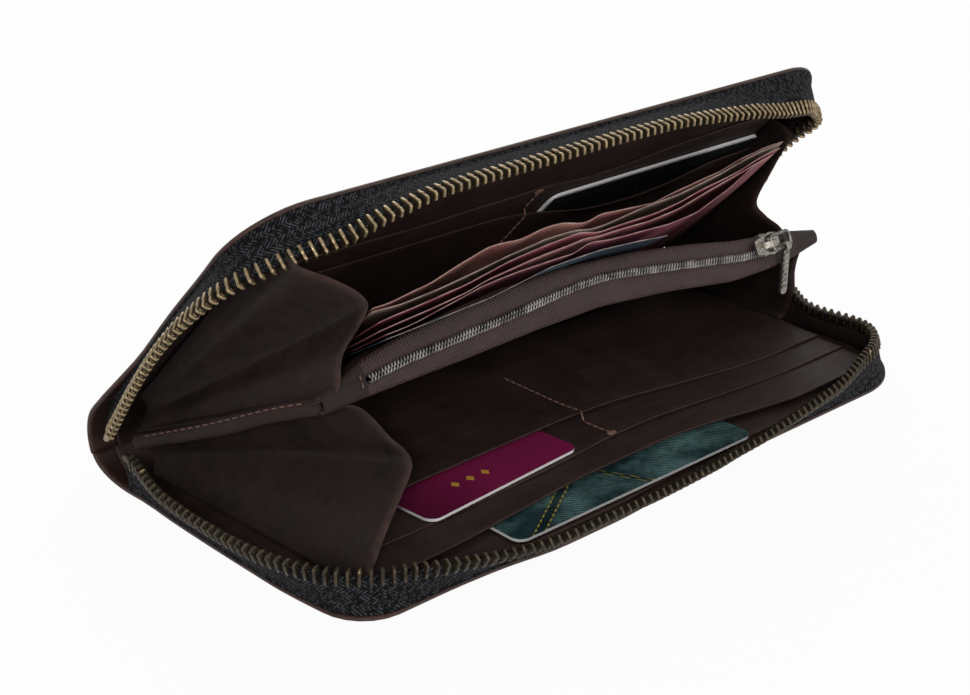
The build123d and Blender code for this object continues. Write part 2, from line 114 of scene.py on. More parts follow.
# ---------------------------------------------------------------- shapes of the shut wallet
def swing(points, angle):
    """Swing points of the shut wallet open about the spine's line."""
    points = np.asarray(points, float)
    dy, dz = points[..., 1] - PIVOT_Y, points[..., 2] - PIVOT_Z
    c, s = math.cos(math.radians(angle)), math.sin(math.radians(angle))
    return np.stack([points[..., 0], PIVOT_Y + dy * c + dz * s, PIVOT_Z - dy * s + dz * c], -1)


def onto_cover(points, upper):
    """Points laid out on the lower cover, or the same on the open upper cover."""
    if not upper:
        return points
    turned = np.array(points, float)
    turned[..., 2] = SHUT - turned[..., 2]
    return swing(turned, OPENING)


def through(stations, where, spread=4.0):
    """Values through (place, value) stations, smoothed over a spread."""
    places, values = (np.array(column, float) for column in zip(*stations))
    steps = np.linspace(-2, 2, 9) * spread
    weight = np.exp(-2 * (steps / (2 * spread)) ** 2)
    where = np.asarray(where, float)[..., None] + steps
    return np.interp(where, places, values) @ weight / weight.sum()


# outward lean of the tapes along their run, in degrees: (run in mm, lean)
LEANS = {False: ((0, 8), (8, 16), (12.9, 22.5), (21.9, 31.6), (30.9, 34), (39.1, 34.4),
                 (46.8, 33.9), (54.2, 32.4), (60.9, 28.9), (66.8, 25.5), (71.4, 20.9),
                 (75.6, 15.7), (79.2, 9.8), (82.6, 6), (86.1, 6.8), (89.8, 10.9), (97.7, 27.3),
                 (107, 39.2), (118, 49.2), (126, 51.1), (142, 48.5), (156, 49.3), (171, 52.8),
                 (187, 56.4), (204, 53.1), (222, 43.2), (232, 36.5), (242, 29.5), (251, 15),
                 (262, -6), (270, -15), (284, -17), (290, -20.5), (296, -24), (308, -28),
                 (313, -20), (324, 18), (329, 22.5), (361.5, 22.5)),
         True: ((0, 35), (5.7, 37), (13.7, 40.5), (23.8, 45.7), (32.3, 48.2), (40.1, 49.9),
                (46.9, 50.4), (52.6, 50.1), (57.7, 49.1), (62.2, 46.5), (66.4, 43.6),
                (72.2, 35.9), (76.4, 27.7), (80.1, 19), (83.9, 12.1), (87.9, 5.4), (92.4, 0.1),
                (97.3, 4.6), (102, 16.1), (107, 25.4), (113, 32), (123, 40.6), (137, 42.3),
                (150, 41.8), (163, 42.7), (176, 43.6), (191, 43.1), (206, 41), (222, 32),
                (239, 19.1), (255, -4), (267, -20), (277, -24), (284, -14), (289, -11),
                (293, -18), (296, -25), (308, -28), (313, -20), (324, 18), (329, 22.5),
                (361.5, 22.5))}


# how far the open wallet's soft edges stand out of the CAD's outline, in mm: the left side
# along y, the front along x, and the left front corner's radius
PRESSED = {False: (((-40, 0.4), (-22, 2.4), (5, 2.8), (22, 2.8), (35, 2.2), (44, 3.0)),
                   ((-76, 0.0), (-60, 1.0), (-48, 3.2), (-22, 3.4), (-8, 2.2), (12, 0.0)), 12.0),
           True: (((-25, 0.0), (-5, 1.5), (44, 1.5)), ((-60, 0.0), (60, 0.0)), 18.0)}


def pressed_out(x, y, upper):
    """Points of a cover's outline, with the soft edges and the left front corner pressed out."""
    side, front, small = PRESSED[upper]
    shift = CORNER - small
    # how far each point is from the corner's centre, and how far the smaller corner's edge is
    out_x, out_y = np.maximum(-BEND_X - x, 0), np.maximum(BEND_Y - y, 0)
    reach = np.maximum(np.hypot(out_x, out_y), 1e-6)
    long, short = np.maximum(out_x, out_y) / reach, np.minimum(out_x, out_y) / reach
    both = shift * (long + short)
    round_edge = both + np.sqrt(np.maximum(both ** 2 - 2 * shift ** 2 + small ** 2, 0))
    straight_edge = CORNER / np.maximum(long, 1e-6)
    edge = np.where(short * straight_edge < shift, straight_edge, round_edge)
    grow = 1 + (edge / CORNER - 1) * np.clip(reach / CORNER, 0, 1) ** 2
    grow = np.where(short > 0, grow, 1.0)
    x = np.where(x < -BEND_X, (x + BEND_X) * grow - BEND_X, x)
    y = np.where(y < BEND_Y, (y - BEND_Y) * grow + BEND_Y, y)
    # the push grows over 30 mm, from 72 mm left and 16 mm forward of the middle
    out_left = through(side, y) * np.clip((-x - 72) / 30, 0, 1) ** 2
    out_front = through(front, x) * np.clip((-y - 16) / 30, 0, 1) ** 2
    return x - out_left, y - out_front


def outline(runs, inset):
    """Places and bearings round a cover's left side, front and right side, at an inset."""
    radius = CORNER - inset
    bend = radius * math.pi / 2
    ends = np.cumsum([0, SIDE_RUN, bend, FRONT_RUN, bend, SIDE_RUN])
    turn = np.radians(np.interp(runs, ends[1:5], (180, 270, 270, 360)))
    x = np.interp(runs, ends[2:4], (-BEND_X, BEND_X)) + radius * np.cos(turn)
    y = np.interp(runs, ends[[0, 1, 4, 5]], (PIVOT_Y, BEND_Y, BEND_Y, PIVOT_Y))
    return x, y + radius * np.sin(turn), turn


def tape_frame(runs, upper):
    """Foot of the tape, direction along it, outward normal and direction up it, at each run."""
    x, y, turn = outline(runs, TAPE_INSET)
    x, y = pressed_out(x, y, upper)
    foot = np.stack([x, y, 0 * x + LEATHER], 1)
    lean = np.radians(through(LEANS[upper], runs, 2.5))[:, None]
    outward = np.stack([np.cos(turn), np.sin(turn), 0 * turn], 1)
    along = np.stack([-np.sin(turn), np.cos(turn), 0 * turn], 1)
    vertical = np.array([[0.0, 0.0, 1.0]])
    up = outward * np.sin(lean) + vertical * np.cos(lean)
    normal = outward * np.cos(lean) - vertical * np.sin(lean)
    return foot, along, normal, up


def outline_grid(inset, upper, columns=15, rows=26):
    """Grid of x, y over a cover inset from its outline, and each point's distance to the edge."""
    half, front, radius = HALF_LENGTH - inset, COVER_FRONT - inset, CORNER - inset
    turn = np.linspace(0, np.pi / 2, columns)
    flat = np.linspace(0, half - radius, 20)
    x = np.concatenate([flat[:-1], half - radius + radius * np.sin(turn)])
    edge = np.concatenate([np.full(len(flat) - 1, -front), radius - front - radius * np.cos(turn)])
    x = np.concatenate([-x[::-1], x[1:]])
    edge = np.concatenate([edge[::-1], edge[1:]])
    share = np.linspace(0, 1, rows) ** 2.2
    grid_x = np.repeat(x[:, None], rows, 1)
    grid_y = edge[:, None] + (PIVOT_Y - edge[:, None]) * share[None, :]
    side = half - np.abs(grid_x)
    round_x = np.maximum(np.abs(grid_x) - (half - radius), 0)
    in_corner = (round_x > 0) & (grid_y < radius - front)
    corner = radius - np.hypot(round_x, grid_y - (radius - front))
    distance = np.where(in_corner, corner, np.minimum(side, grid_y + front))
    grid_x, grid_y = pressed_out(grid_x, grid_y, upper)
    return grid_x, grid_y, np.maximum(distance, 0)


def rolled(distance, radius):
    """How far a surface drops at its edge when the edge is rolled over with a radius."""
    near = np.clip(1 - distance / radius, 0, 1)
    return radius * (1 - np.sqrt(1 - near ** 2))


def ripple(x, y, size, seed):
    """A smooth, repeatable unevenness of about plus or minus one, with waves of the given size."""
    total = 0.0
    for k in range(5):
        # each wave is turned by the golden angle from the last, so that none line up
        turn = seed * 1.7 + k * 2.39996
        wave = 2 * np.pi / (size * (0.7 + 0.37 * k))
        total = total + np.sin((x * math.cos(turn) + y * math.sin(turn)) * wave + seed * 3.1 + k)
    return total / 3.2


# ---------------------------------------------------------------- meshes
def mesh_object(name, points, faces, uv=None, wear=None):
    """A smooth mesh from points in mm, with optional UVs in mm and an edge wear value."""
    mesh = bpy.data.meshes.new(name)
    points = np.asarray(points, float).reshape(-1, 3) * 0.001
    mesh.from_pydata(points.tolist(), [], [list(map(int, face)) for face in faces])
    if uv is not None:
        layer = mesh.uv_layers.new(name="mm")
        corners = np.zeros(len(mesh.loops), np.int32)
        mesh.loops.foreach_get("vertex_index", corners)
        layer.data.foreach_set("uv", np.asarray(uv, np.float32).reshape(-1, 2)[corners].ravel())
    if wear is not None:
        attribute = mesh.attributes.new("wear", "FLOAT", "POINT")
        attribute.data.foreach_set("value", np.asarray(wear, np.float32).ravel())
    mesh.polygons.foreach_set("use_smooth", np.ones(len(mesh.polygons), bool))
    mesh.update()
    piece = bpy.data.objects.new(name, mesh)
    bpy.context.scene.collection.objects.link(piece)
    return piece


def grid_faces(rows, columns, closed=False):
    """Quads of a grid of points; closed joins its last column to the first."""
    faces = []
    for start in range(0, (rows - 1) * columns, columns):
        for j in range(columns if closed else columns - 1):
            k = (j + 1) % columns
            faces.append((start + j, start + k, start + columns + k, start + columns + j))
    return faces


def tube_faces(rows, columns):
    """Faces of a closed tube of rows by columns points, with both ends filled."""
    faces = grid_faces(rows, columns, closed=True)
    faces.append(tuple(range(columns))[::-1])
    faces.append(tuple((rows - 1) * columns + j for j in range(columns)))
    return faces


def thick_sheet(name, top, bottom, uv=None, wear=None):
    """A closed sheet between two grids of points that meet the same outline."""
    rows, columns = top.shape[:2]
    count = rows * columns
    faces = grid_faces(rows, columns)
    under = [tuple(count + k for k in face[::-1]) for face in faces]
    ring = ([(0, j) for j in range(columns)] + [(i, columns - 1) for i in range(1, rows)]
            + [(rows - 1, j) for j in range(columns - 2, -1, -1)]
            + [(i, 0) for i in range(rows - 2, 0, -1)])
    ring = [i * columns + j for i, j in ring]
    sides = [(after, here, count + here, count + after)
             for here, after in zip(ring, ring[1:] + ring[:1])]
    points = np.concatenate([top.reshape(-1, 3), bottom.reshape(-1, 3)])
    if uv is not None:
        uv = np.concatenate([uv.reshape(-1, 2)] * 2)
    if wear is not None:
        wear = np.concatenate([wear.ravel()] * 2)
    return mesh_object(name, points, faces + under + sides, uv, wear)


def merged(name, parts, wear=None):
    """One mesh from a list of (points, faces)."""
    points, faces, start = [], [], 0
    for part_points, part_faces in parts:
        points.append(part_points)
        faces += [tuple(start + k for k in face) for face in part_faces]
        start += len(part_points)
    return mesh_object(name, np.concatenate(points), faces, wear=wear)


def round_turns(sides, power=1.0, phase=0.0):
    """Cosines and sines of turns round a ring; a power below 1 squares the ring up."""
    for k in range(sides):
        turn = 2 * math.pi * (k + phase) / sides
        c, s = math.cos(turn), math.sin(turn)
        yield math.copysign(abs(c) ** power, c), math.copysign(abs(s) ** power, s)


def capsule(start, end, radius, sides=6):
    """Points and faces of a short thread between two points, rounded at its ends."""
    start, end = np.array(start, float), np.array(end, float)
    axis = (end - start) / np.linalg.norm(end - start)
    side = np.cross(axis, [0.3, 0.2, 1.0])
    side /= np.linalg.norm(side)
    other = np.cross(axis, side)
    rings = [start + (end - start) * place + radius * size * (side * c + other * s)
             for place, size in ((0, 0.45), (0.12, 0.9), (0.5, 1.0), (0.88, 0.9), (1, 0.45))
             for c, s in round_turns(sides)]
    return np.array(rings), tube_faces(5, sides)


def run_along(line):
    """Length along a line of points, from its start to each of them."""
    return np.concatenate([[0], np.cumsum(np.linalg.norm(np.diff(line, axis=0), axis=1))])


def along_line(line, runs):
    """Points of a line at lengths along it."""
    length = run_along(line)
    return np.stack([np.interp(runs, length, line[:, k]) for k in range(3)], -1)


def spline(points, count):
    """A smooth curve through points, resampled evenly."""
    points = np.asarray(points, float)
    padded = np.concatenate([[2 * points[0] - points[1]], points, [2 * points[-1] - points[-2]]])
    fine = []
    for k in range(1, len(padded) - 2):
        a, b, c, d = padded[k - 1:k + 3]
        for t in np.linspace(0, 1, 16, endpoint=False):
            fine.append(0.5 * (2 * b + (c - a) * t + (2 * a - 5 * b + 4 * c - d) * t ** 2
                               + (3 * b - a - 3 * c + d) * t ** 3))
    fine.append(points[-1])
    fine = np.array(fine)
    return along_line(fine, np.linspace(0, run_along(fine)[-1], count))


# ---------------------------------------------------------------- materials
# The Scale of a noise or cell pattern on object coordinates counts its features per metre, so
# that 250 makes them 4 mm wide.
COLOURS = {"output": 2, "data_type": "RGBA"}        # a Mix node's settings for colours


def linear(colour):
    """A linear RGBA colour from an sRGB hex string."""
    values = [int(colour[k:k + 2], 16) / 255 for k in (1, 3, 5)]
    return tuple(v / 12.92 if v <= 0.04045 else ((v + 0.055) / 1.055) ** 2.4
                 for v in values) + (1.0,)


def add_node(tree, kind, *values, output=0, **settings):
    """Add a shader node with its settings, set or link its inputs, and give one output.

    A value is for the next input in order, or it is a dictionary of values by input."""
    node = tree.nodes.new("ShaderNode" + kind)
    for key, value in settings.items():
        setattr(node, key, value)
    inputs = {}
    for place, value in enumerate(values):
        inputs.update(value if isinstance(value, dict) else {place: value})
    for key, value in inputs.items():
        if isinstance(value, bpy.types.NodeSocket):
            tree.links.new(value, node.inputs[key])
        else:
            node.inputs[key].default_value = linear(value) if isinstance(value, str) else value
    return node.outputs[output] if node.outputs else node


def start_nodes(owner):
    """A material or world emptied of its nodes, and what adds a node to it."""
    owner.use_nodes = True
    owner.node_tree.nodes.clear()
    return owner, functools.partial(add_node, owner.node_tree)


def start_material(name):
    """An empty material, and what adds a node to it."""
    return start_nodes(bpy.data.materials.new(name))


def surface(add, **inputs):
    """The shader of a material and its output; underscores in a name stand for spaces."""
    shader = add("BsdfPrincipled", {key.replace("_", " "): v for key, v in inputs.items()})
    add("OutputMaterial", {"Surface": shader})


def rgba(colour):
    """Four channels of a colour property."""
    return tuple(colour) + (1.0,)


def leather(name, dark, light, worn, rough, grain, sheen):
    """Cowhide: cloudy dye, drawn streaks, a pebbled grain and paler edges, from wear and, on the
    gussets, from a painted highlight.
    """
    material, add = start_material(name)
    place = add("TexCoord", output="Object")
    # clouds 11 mm wide, and streaks 4 mm apart and 16 mm long
    cloud = add("TexNoise", {"Vector": place, "Scale": 90.0, "Detail": 5.0, "Roughness": 0.62})
    cloud = add("MapRange", cloud, 0.34, 0.68)
    stretched = add("Mapping", {"Vector": place, "Scale": (0.25, 1.6, 1.6)})
    drawn = add("TexNoise", {"Vector": stretched, "Scale": 250.0, "Detail": 4.0})
    drawn = add("MapRange", drawn, 0.4, 0.75, 0.0, 0.2)
    colour = add("Mix", {0: cloud, 6: dark, 7: light}, **COLOURS)
    colour = add("Mix", {0: drawn, 6: colour, 7: worn}, **COLOURS)
    # paler edges: the wear attribute broken up by 3 mm patches; worn leather, and on the gussets
    # partly a painted highlight along the edge
    patch = add("TexNoise", {"Vector": place, "Scale": 330.0, "Detail": 3.0})
    patch = add("MapRange", patch, 0.35, 0.65, 0.15, 0.6)
    wear = add("Attribute", output="Fac", attribute_name="wear")
    wear = add("Math", wear, patch, operation="MULTIPLY")
    colour = add("Mix", {0: wear, 6: colour, 7: worn}, **COLOURS)
    # grain: the hide's closed cells, pores on them, and a slow swell 18 mm wide under both
    cells = add("TexVoronoi", {"Vector": place, "Scale": 1.0 / grain}, feature="DISTANCE_TO_EDGE")
    cells = add("MapRange", cells, 0.0, 0.35, 0.0, 0.6)
    pores = add("TexNoise", {"Vector": place, "Scale": 1.6 / grain, "Detail": 3.0})
    height = add("Math", cells, pores, operation="ADD")
    swell = add("TexNoise", {"Vector": place, "Scale": 55.0, "Detail": 2.0})
    normal = add("Bump", {"Height": swell, "Distance": 0.0012, "Strength": 0.3})
    normal = add("Bump", {"Height": height, "Distance": 0.00007, "Strength": 0.6,
                          "Normal": normal})
    surface(add, Base_Color=colour, IOR=1.5, Specular_IOR_Level=0.25, Sheen_Weight=sheen,
            Roughness=add("MapRange", {0: cloud, 3: rough - 0.06, 4: rough + 0.08}),
            Sheen_Roughness=0.5, Sheen_Tint=linear("#8a6a5e"), Normal=normal)
    return material


def outer_cowhide(colours):
    """Waxed full grain cowhide, about 0.6 mm grain: dark, with a soft gloss."""
    dark = rgba(colours.outer_leather)
    return leather("waxed_cowhide", dark, "#2c1c18", "#553a30", 0.5, 0.0006, 0.02)


def inner_cowhide(colours):
    """Milled, buffed cowhide of finer grain: dull, with a little nap."""
    dark = rgba(colours.inner_leather)
    return leather("buffed_cowhide", dark, "#2e211e", "#4c3832", 0.66, 0.00045, 0.05)


def gusset_cowhide(colours):
    """The same hide for the folded sides, its colours darker than the lining's as painted shade,
    and duller.
    """
    # these are the lining's colours, darkened as painted shade
    return leather("shade_darkened_cowhide", "#170f0d", "#241916", "#46332d", 0.72, 0.00045, 0.03)


def herringbone_polyester(colours):
    """Spun polyester woven in a 1.9 mm herringbone: raised slanted ribs whose grey tops are a
    painted highlight, near black between them.
    """
    material, add = start_material("herringbone_polyester")
    uv = add("UVMap", uv_map="mm")
    along = add("SeparateXYZ", uv, output="X")
    across = add("SeparateXYZ", uv, output="Y")
    # zigzags 1.9 mm high; their ribs are drawn a little coarser than the real 0.7 mm to show
    zigzag, rib_pitch = 1.9, 0.95
    folded = add("Math", across, zigzag, operation="PINGPONG")
    phase = add("Math", along, folded, operation="ADD")
    phase = add("Math", phase, 2 * math.pi / rib_pitch, operation="MULTIPLY")
    rib = add("MapRange", add("Math", phase, operation="SINE"), -1.0, 1.0)
    # the ribs sink where they turn back, at the edges of each zigzag
    valley = add("Math", folded, zigzag / 2, operation="SUBTRACT")
    valley = add("Math", valley, operation="ABSOLUTE")
    valley = add("MapRange", valley, 0.72, zigzag / 2, 1.0, 0.35)
    place = add("TexCoord", output="Object")
    # the ribs are broken into knots about 1 mm apart by the yarn that crosses them
    slub = add("TexNoise", {"Vector": place, "Scale": 1000.0, "Detail": 1.0})
    slub = add("MapRange", slub, 0.42, 0.6, 0.05, 1.0)
    height = add("Math", rib, valley, operation="MULTIPLY")
    height = add("Math", height, slub, operation="MULTIPLY")
    fade = add("TexNoise", {"Vector": place, "Scale": 160.0, "Detail": 3.0})
    fade = add("MapRange", fade, 0.35, 0.7, 0.0, 0.02)
    # the ribs' grey tops and knots are a painted highlight on the black tape
    colour = add("Mix", {0: height, 6: "#030304", 7: rgba(colours.tape)}, **COLOURS)
    colour = add("Mix", {0: fade, 6: colour, 7: rgba(colours.tape)}, **COLOURS)
    surface(add, Base_Color=colour, Roughness=0.85, IOR=1.5, Specular_IOR_Level=0.1,
            Normal=add("Bump", {"Height": height, "Distance": 0.00022, "Strength": 0.9}))
    return material


def ribbed_polyester(colours):
    """Filament polyester tape, plain woven: brown, with a faint silky sheen.

    The weave is drawn 1 mm apart, twice the real one, so that it shows."""
    material, add = start_material("ribbed_polyester")
    uv = add("UVMap", uv_map="mm")
    waves = []
    for axis, pitch in (("X", 1.05), ("Y", 0.9)):
        run = add("SeparateXYZ", uv, output=axis)
        run = add("Math", run, 2 * math.pi / pitch, operation="MULTIPLY")
        waves.append(add("Math", run, operation="SINE"))
    weave = add("Math", *waves, operation="MULTIPLY")
    weave = add("MapRange", weave, -0.7, 1.0)
    place = add("TexCoord", output="Object")
    shade = add("TexNoise", {"Vector": place, "Scale": 240.0, "Detail": 3.0})
    shade = add("MapRange", shade, 0.35, 0.7, 0.0, 0.45)
    colour = add("Mix", {0: weave, 6: "#110a0a", 7: rgba(colours.pocket_tape)}, **COLOURS)
    colour = add("Mix", {0: shade, 6: colour, 7: "#241a19"}, **COLOURS)
    surface(add, Base_Color=colour, Roughness=0.62, IOR=1.5, Specular_IOR_Level=0.35,
            Sheen_Weight=0.05, Sheen_Roughness=0.4, Sheen_Tint=linear("#a08a84"),
            Normal=add("Bump", {"Height": weave, "Distance": 0.00022, "Strength": 0.9}))
    return material


def nylon_monofilament(colours):
    """Extruded nylon, wound into the coil: glossy grey, with paler, rougher patches 3 mm wide
    painted in as highlights.
    """
    material, add = start_material("nylon_monofilament")
    place = add("TexCoord", output="Object")
    # paler patches 3 mm wide are painted highlight on the coil
    painted_glint_patches = add("TexNoise", {"Vector": place, "Scale": 300.0, "Detail": 3.0})
    painted_glint_patches = add("MapRange", painted_glint_patches, 0.35, 0.7)
    colour = add("Mix", {0: painted_glint_patches, 6: "#3a3433", 7: "#a8a19d"}, **COLOURS)
    surface(add, Base_Color=colour, IOR=1.53, Specular_IOR_Level=0.9,
            Roughness=add("MapRange", {0: painted_glint_patches, 3: 0.16, 4: 0.3}))
    return material


def brass(name, bright, mid, dark, rough):
    """Stamped brass with a blackened finish that is worn off its high places, which are also
    painted paler as a highlight.
    """
    material, add = start_material(name)
    place = add("TexCoord", output="Object")
    # pits 0.9 mm wide break the finish up
    pits = add("TexNoise", {"Vector": place, "Scale": 1100.0, "Detail": 4.0})
    # sharp, high places are made paler: partly worn metal, partly a painted highlight on the
    # teeth's heads
    high = add("NewGeometry", output="Pointiness")
    high = add("MapRange", high, 0.45, 0.56, 0.1, 0.75)
    patch = add("MapRange", pits, 0.35, 0.7, -0.05, 0.4)
    rubbed_and_highlight = add("Math", high, patch, operation="ADD")
    # here the wear attribute marks the teeth's flat sides, which nothing rubs
    kept = add("Attribute", output="Fac", attribute_name="wear")
    kept = add("MapRange", {0: kept, 3: 1.0, 4: 0.4})
    rubbed_and_highlight = add("Math", rubbed_and_highlight, kept, operation="MULTIPLY")
    low_half = add("MapRange", rubbed_and_highlight, 0.0, 0.5)
    high_half = add("MapRange", rubbed_and_highlight, 0.5, 1.0)
    colour = add("Mix", {0: low_half, 6: dark, 7: mid}, **COLOURS)
    colour = add("Mix", {0: high_half, 6: colour, 7: bright}, **COLOURS)
    # the black finish is an oxide, so only the worn places, with the painted highlight, are bare
    # metal
    surface(add, Base_Color=colour, Metallic=add("MapRange", {0: rubbed_and_highlight, 3: 0.45, 4: 0.95}),
            Roughness=add("MapRange", {0: rubbed_and_highlight, 3: rough + 0.2, 4: rough}),
            Normal=add("Bump", {"Height": pits, "Distance": 0.00004, "Strength": 0.6}))
    return material


def antique_brass(colours):
    """Tooth metal: tan brass, black in its hollows."""
    return brass("antique_brass", rgba(colours.brass), "#544734", "#100e0a", 0.34)


def antique_nickel(colours):
    """Slider metal: the same finish over nickel, greyer."""
    return brass("antique_nickel", "#97928a", "#4c4842", "#141311", 0.26)


def thread(name, dark, light):
    """Bonded polyester thread, 0.5 mm thick: fine slanted bands of its twisted plies."""
    material, add = start_material(name)
    turned = add("Mapping", {"Vector": add("TexCoord", output="Object"),
                             "Rotation": (0.5, 0.4, 0.7)})
    twist = add("TexWave", {"Vector": turned, "Scale": 900.0, "Distortion": 2.0}, output="Fac")
    colour = add("Mix", {0: twist, 6: dark, 7: light}, **COLOURS)
    surface(add, Base_Color=colour, Roughness=0.6, IOR=1.5, Specular_IOR_Level=0.35,
            Normal=add("Bump", {"Height": twist, "Distance": 0.00005}))
    return material


def brown_thread(colours):
    """The covers' and hems' thread, dyed a little lighter than the hide."""
    return thread("brown_thread", "#2c1d1a", "#5b4038")


def rose_thread(colours):
    """The slots' and the pocket's thread, a dusty rose that shows on the dark hide."""
    return thread("rose_thread", "#5a3d36", "#a07a6c")


def card_face(add, colour, cut_edge):
    """Print on a card's two faces and bare core at its cut edge, under a clear film."""
    normal = add("TexCoord", output="Normal")
    normal = add("VectorMath", normal, cut_edge, output="Value", operation="DOT_PRODUCT")
    flat = add("Math", normal, operation="ABSOLUTE")
    flat = add("MapRange", flat, 0.5, 0.8)
    colour = add("Mix", {0: flat, 6: "#eeeceb", 7: colour}, **COLOURS)
    place = add("TexCoord", output="Object")
    scuff = add("TexNoise", {"Vector": place, "Scale": 250.0, "Detail": 5.0})
    surface(add, Base_Color=colour, IOR=1.54, Specular_IOR_Level=0.5,
            Roughness=add("MapRange", scuff, 0.3, 0.7, 0.24, 0.38),
            Normal=add("Bump", {"Height": scuff, "Distance": 0.00002, "Strength": 0.4}))


def white_card_print(colours):
    """Laminated white PVC printed charcoal, with a white band 1 mm wide along its front edge and
    left end painted in as a highlight.
    """
    material, add = start_material("highlight_rimmed_pvc")
    place = add("TexCoord", output="Object")
    # how far the point is up the card from its front edge, along the open cover
    opening = math.radians(OPENING)
    up_cover = (0.0, -math.cos(opening), math.sin(opening))
    along = add("VectorMath", place, up_cover, output="Value", operation="DOT_PRODUCT")
    front = onto_cover(np.array([0.0, -16.8, 5.0]), True) * 0.001
    level = -front[1] * math.cos(opening) + front[2] * math.sin(opening)
    # the white band 1 mm wide at the front edge, and the left end below x = 9 mm, is a painted
    # highlight of the lit edges
    rim = add("MapRange", along, level - 0.0011, level - 0.0010)
    side = add("MapRange", add("SeparateXYZ", place, output="X"), 0.0090, 0.0091, 1.0, 0.0)
    rim = add("Math", rim, side, operation="MAXIMUM")
    cloud = add("TexNoise", {"Vector": place, "Scale": 40.0, "Detail": 2.0})
    print_colour = add("Mix", {0: cloud, 6: "#14181a", 7: "#24292b"}, **COLOURS)
    colour = add("Mix", {0: rim, 6: print_colour, 7: "#f2f2f2"}, **COLOURS)
    card_face(add, colour, (0.0, math.sin(opening), math.cos(opening)))
    return material


def magenta_card_print(colours):
    """Laminated PVC in wine red, with three small gold lozenges and a painted shade over its left
    end.
    """
    material, add = start_material("wine_laminated_pvc")
    place = add("TexCoord", output="Object")
    x = add("SeparateXYZ", place, output="X")
    y = add("SeparateXYZ", place, output="Y")
    # the left end is darkened towards #55102f: a painted shade cast by the gusset beside it
    slant = add("Math", y, 0.4, operation="MULTIPLY")
    slant = add("Math", x, slant, operation="ADD")
    shade = add("MapRange", slant, -0.078, -0.050)
    colour = add("Mix", {0: shade, 6: "#55102f", 7: rgba(colours.magenta_card)}, **COLOURS)
    # lozenges 2.4 mm wide, 5 mm apart, and only three of them
    half_pitch = 0.0025
    along = add("Math", x, 0.0525, operation="ADD")
    along = add("Math", along, half_pitch, operation="PINGPONG")
    from_x = add("Math", half_pitch, along, operation="SUBTRACT")
    from_y = add("Math", y, 0.0185, operation="ADD")
    from_y = add("Math", from_y, operation="ABSOLUTE")
    from_y = add("Math", from_y, 0.8, operation="MULTIPLY")
    lozenge = add("Math", from_x, from_y, operation="ADD")
    lozenge = add("MapRange", lozenge, 0.0011, 0.0013, 1.0, 0.0)
    inside = add("Math", x, 0.045, operation="ADD")
    inside = add("Math", inside, operation="ABSOLUTE")
    inside = add("MapRange", inside, 0.0074, 0.0075, 1.0, 0.0)
    lozenge = add("Math", lozenge, inside, operation="MULTIPLY")
    colour = add("Mix", {0: lozenge, 6: colour, 7: "#d8a63f"}, **COLOURS)
    card_face(add, colour, (0.0, 0.0, 1.0))
    return material


def denim_card_print(colours):
    """Laminated PVC printed with washed twill and two double rows of yellow stitching."""
    material, add = start_material("twill_laminated_pvc")
    place = add("TexCoord", output="Object")
    x = add("SeparateXYZ", place, output="X")
    y = add("SeparateXYZ", place, output="Y")
    diagonal = add("Math", y, 0.8, operation="MULTIPLY")
    diagonal = add("Math", x, diagonal, operation="ADD")
    # twill lines drawn 1.2 mm apart, as a print of cloth seen from close up
    twill_pitch = 0.0012
    twill = add("Math", diagonal, 2 * math.pi / twill_pitch, operation="MULTIPLY")
    twill = add("MapRange", add("Math", twill, operation="SINE"), -1.0, 1.0)
    # washed clouds 13 mm wide, and dark flecks of 2 mm
    washed = add("TexNoise", {"Vector": place, "Scale": 75.0, "Detail": 5.0, "Roughness": 0.6})
    washed = add("MapRange", washed, 0.42, 0.66, 0.1, 1.0)
    washed = add("Math", washed, twill, operation="MULTIPLY")
    fleck = add("TexNoise", {"Vector": place, "Scale": 500.0, "Detail": 3.0})
    fleck = add("MapRange", fleck, 0.5, 0.72, 0.0, 0.6)
    colour = add("Mix", {0: twill, 6: "#091619", 7: "#213f45"}, **COLOURS)
    colour = add("Mix", {0: washed, 6: colour, 7: rgba(colours.denim_card)}, **COLOURS)
    colour = add("Mix", {0: fleck, 6: colour, 7: "#0e1f23"}, **COLOURS)
    stitch_pitch = 0.0021
    dash = add("Math", x, 2 * math.pi / stitch_pitch, operation="MULTIPLY")
    dash = add("MapRange", add("Math", dash, operation="SINE"), -0.4, -0.2)
    for slope, level in ((0.62, -0.0165), (-1.9, -0.062)):
        line = add("Math", x, slope, operation="MULTIPLY")
        line = add("Math", y, line, operation="SUBTRACT")
        line = add("Math", line, level, operation="SUBTRACT")
        line = add("Math", line, operation="ABSOLUTE")
        seam = add("MapRange", line, 0.0008, 0.0022, 0.75, 0.0)
        colour = add("Mix", {0: seam, 6: colour, 7: "#0c1b1f"}, **COLOURS)
        # a row of stitches at each side of the seam, 1.3 mm from it
        pair = add("Math", line, 0.0013, operation="SUBTRACT")
        pair = add("Math", pair, operation="ABSOLUTE")
        pair = add("MapRange", pair, 0.0002, 0.0003, 0.9, 0.0)
        pair = add("Math", pair, dash, operation="MULTIPLY")
        colour = add("Mix", {0: pair, 6: colour, 7: "#b9a84a"}, **COLOURS)
    card_face(add, colour, (0.0, 0.0, 1.0))
    return material


NOTE_TINTS = (("#2a3640", "#465660", "#161e26"), ("#7a3c4c", "#9c6068", "#4c2230"),
              ("#8a5258", "#a87e78", "#5c2c3a"), ("#7c3a48", "#9a5660", "#48202c"),
              ("#6e5c52", "#94857a", "#3a302a"), ("#8e5a56", "#b08074", "#5c3436"))


